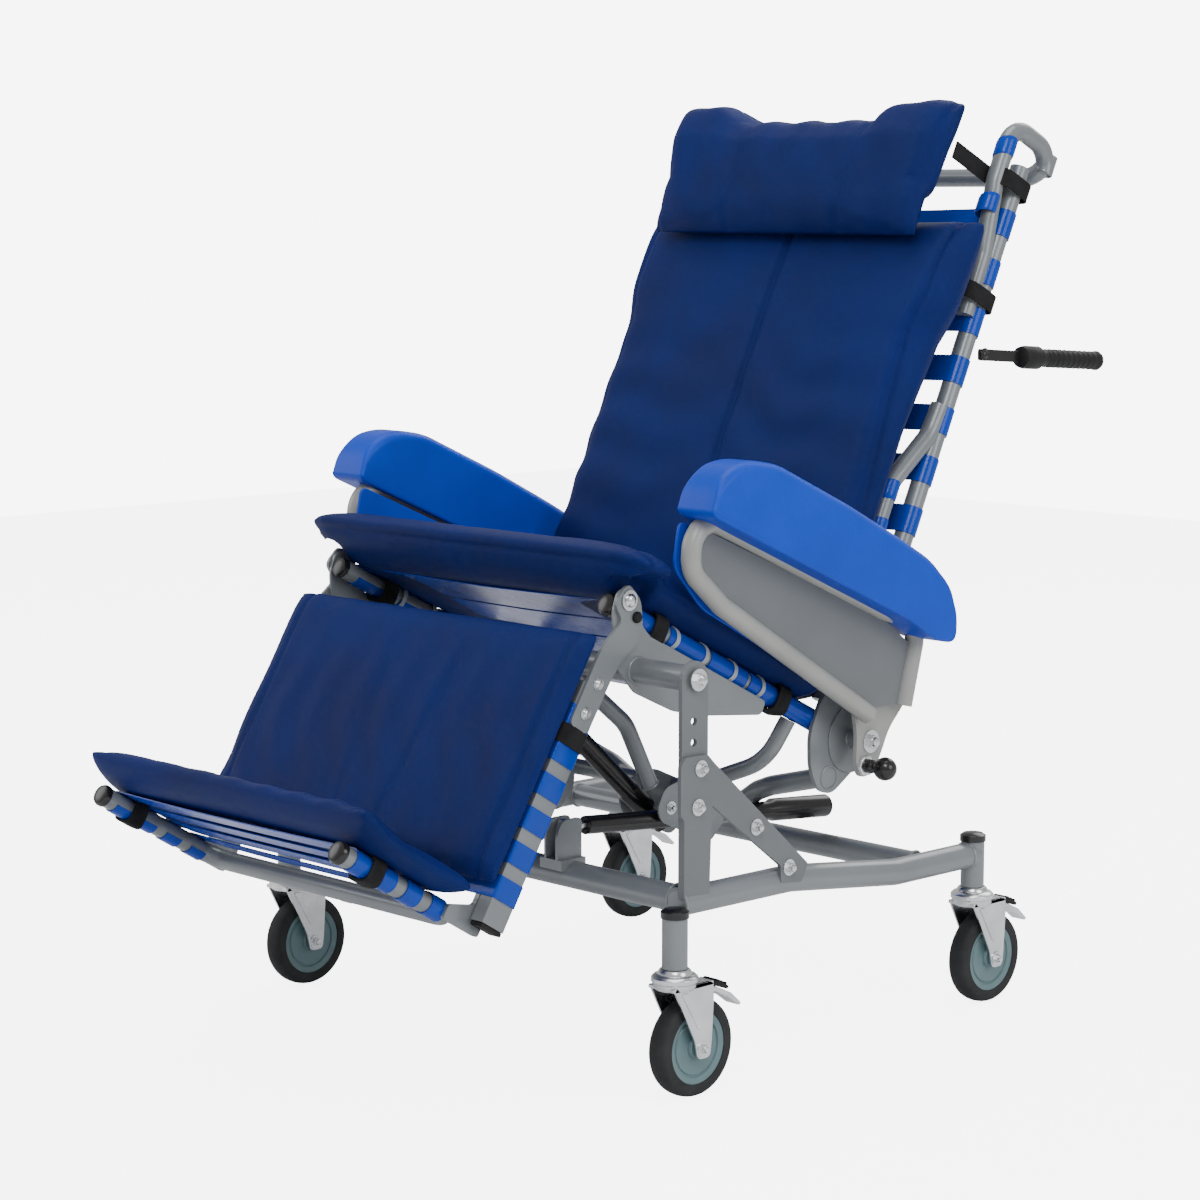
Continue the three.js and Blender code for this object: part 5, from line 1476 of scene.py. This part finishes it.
# ---- stage -----------------------------------------------------------------------------------------
FLOOR_HALF = 6000.0


class RECLINER_OT_stage(bpy.types.Operator):
    """Makes the floor, the lights and the camera"""

    bl_idname = "recliner.stage"
    bl_label = "Stage"

    def execute(self, context):
        corners = [[x * FLOOR_HALF, y * FLOOR_HALF, 0] for x, y in ((-1, -1), (1, -1), (1, 1), (-1, 1))]
        floor = mesh_object("floor", (corners, [[0, 1, 2, 3]]))
        finish("floor", (0.86, 0.865, 0.87), (0.84, 0.845, 0.85), 0.6, change=0.05, patch=0.6, grain=0.0)
        floor.data.materials.append(FINISH["floor"])
        glow_to_camera(FINISH["floor"], 5.6)
        lamps = (
            ("key", (2.6, -2.2, 3.6), 1.9, 78),
            ("fill", (-3.2, -2.4, 2.2), 2.6, 42),
            ("side", (3.6, 0.8, 1.8), 2.0, 40),
            ("behind", (-0.6, 3.4, 3.0), 2.4, 46),
            ("top", (0.0, 0.2, 4.4), 2.8, 70),
        )
        aim = np.array([0, 0.3 + SHIFT, 0.6])
        for name, place, size, power in lamps:
            light = bpy.data.lights.new(name, "AREA")
            light.shape, light.size, light.energy = "DISK", size, power
            lamp = bpy.data.objects.new(name, light)
            bpy.context.collection.objects.link(lamp)
            lamp.location = place
            turn_to(lamp, aim)
        bpy.context.scene.world = make_studio(0.62, 7.5)
        lens = bpy.data.cameras.new("camera")
        lens.lens, lens.sensor_width = 91.78, 36.0
        camera = bpy.data.objects.new("camera", lens)
        bpy.context.collection.objects.link(camera)
        camera.location = (2.9129, -2.5665 + SHIFT, 1.0913)
        camera.rotation_euler = (math.radians(90 - 7.55), 0, math.radians(46.11))
        bpy.context.scene.camera = camera
        return {"FINISHED"}


def glow_to_camera(material, strength):
    """Lets a backdrop glow where it is looked at, without lighting anything."""
    tree = material.node_tree
    path = tree.nodes.new("ShaderNodeLightPath")
    scale = tree.nodes.new("ShaderNodeMath")
    scale.operation = "MULTIPLY"
    scale.inputs[1].default_value = strength
    tree.links.new(path.outputs["Is Camera Ray"], scale.inputs[0])
    shader = tree.nodes["Principled BSDF"]
    shader.inputs["Emission Color"].default_value = (1, 1, 1, 1)
    tree.links.new(scale.outputs[0], shader.inputs["Emission Strength"])


def make_studio(lit, seen):
    """A white surround: one strength for the light it gives, another for how bright it looks."""
    world = bpy.data.worlds.new("studio")
    world.use_nodes = True
    tree = world.node_tree
    path = tree.nodes.new("ShaderNodeLightPath")
    level = tree.nodes.new("ShaderNodeMapRange")
    level.inputs["To Min"].default_value = lit
    level.inputs["To Max"].default_value = seen
    back = tree.nodes["Background"]
    back.inputs["Color"].default_value = (1, 1, 1, 1)
    tree.links.new(path.outputs["Is Camera Ray"], level.inputs["Value"])
    tree.links.new(level.outputs["Result"], back.inputs["Strength"])
    return world


def turn_to(thing, aim):
    """Points an object's -Z at a place."""
    way = np.asarray(aim, float) - np.array(thing.location)
    flat = math.hypot(way[0], way[1])
    thing.rotation_euler = (math.atan2(flat, -way[2]), 0, math.atan2(-way[0], way[1]))


# ---- the add-on ------------------------------------------------------------------------------------
PIECES = (
    RECLINER_OT_finishes, RECLINER_OT_base, RECLINER_OT_casters, RECLINER_OT_seat_frame,
    RECLINER_OT_back_frame, RECLINER_OT_leg_frame, RECLINER_OT_arms, RECLINER_OT_locks,
    RECLINER_OT_straps, RECLINER_OT_seat_cushion, RECLINER_OT_back_cushion,
    RECLINER_OT_head_cushion, RECLINER_OT_leg_cushions, RECLINER_OT_kept_frame, RECLINER_OT_stage,
)  # fmt: skip


class RECLINER_PT_panel(bpy.types.Panel):
    """Lists the steps and settings of the chair in the sidebar"""

    bl_idname = "RECLINER_PT_panel"
    bl_label = "Patient recliner chair"
    bl_space_type = "VIEW_3D"
    bl_region_type = "UI"
    bl_category = "Recliner"

    def draw(self, context):
        column = self.layout.column(align=True)
        for piece in PIECES:
            column.operator(piece.bl_idname)
        for settings in (context.scene.recliner_colours, context.scene.recliner_sizes):
            for name in settings.__annotations__:
                self.layout.prop(settings, name)


CLASSES = (ReclinerColours, ReclinerSizes, *PIECES, RECLINER_PT_panel)


def register():
    """Registers the classes and the settings."""
    for each in CLASSES:
        bpy.utils.register_class(each)
    bpy.types.Scene.recliner_colours = bpy.props.PointerProperty(type=ReclinerColours)
    bpy.types.Scene.recliner_sizes = bpy.props.PointerProperty(type=ReclinerSizes)


def unregister():
    """Takes the settings and the classes away again."""
    del bpy.types.Scene.recliner_sizes
    del bpy.types.Scene.recliner_colours
    for each in reversed(CLASSES):
        bpy.utils.unregister_class(each)


def main():
    """Builds the whole chair."""
    register()
    for piece in PIECES:
        group, name = piece.bl_idname.split(".")
        getattr(getattr(bpy.ops, group), name)()


if __name__ == "__main__":
    main()
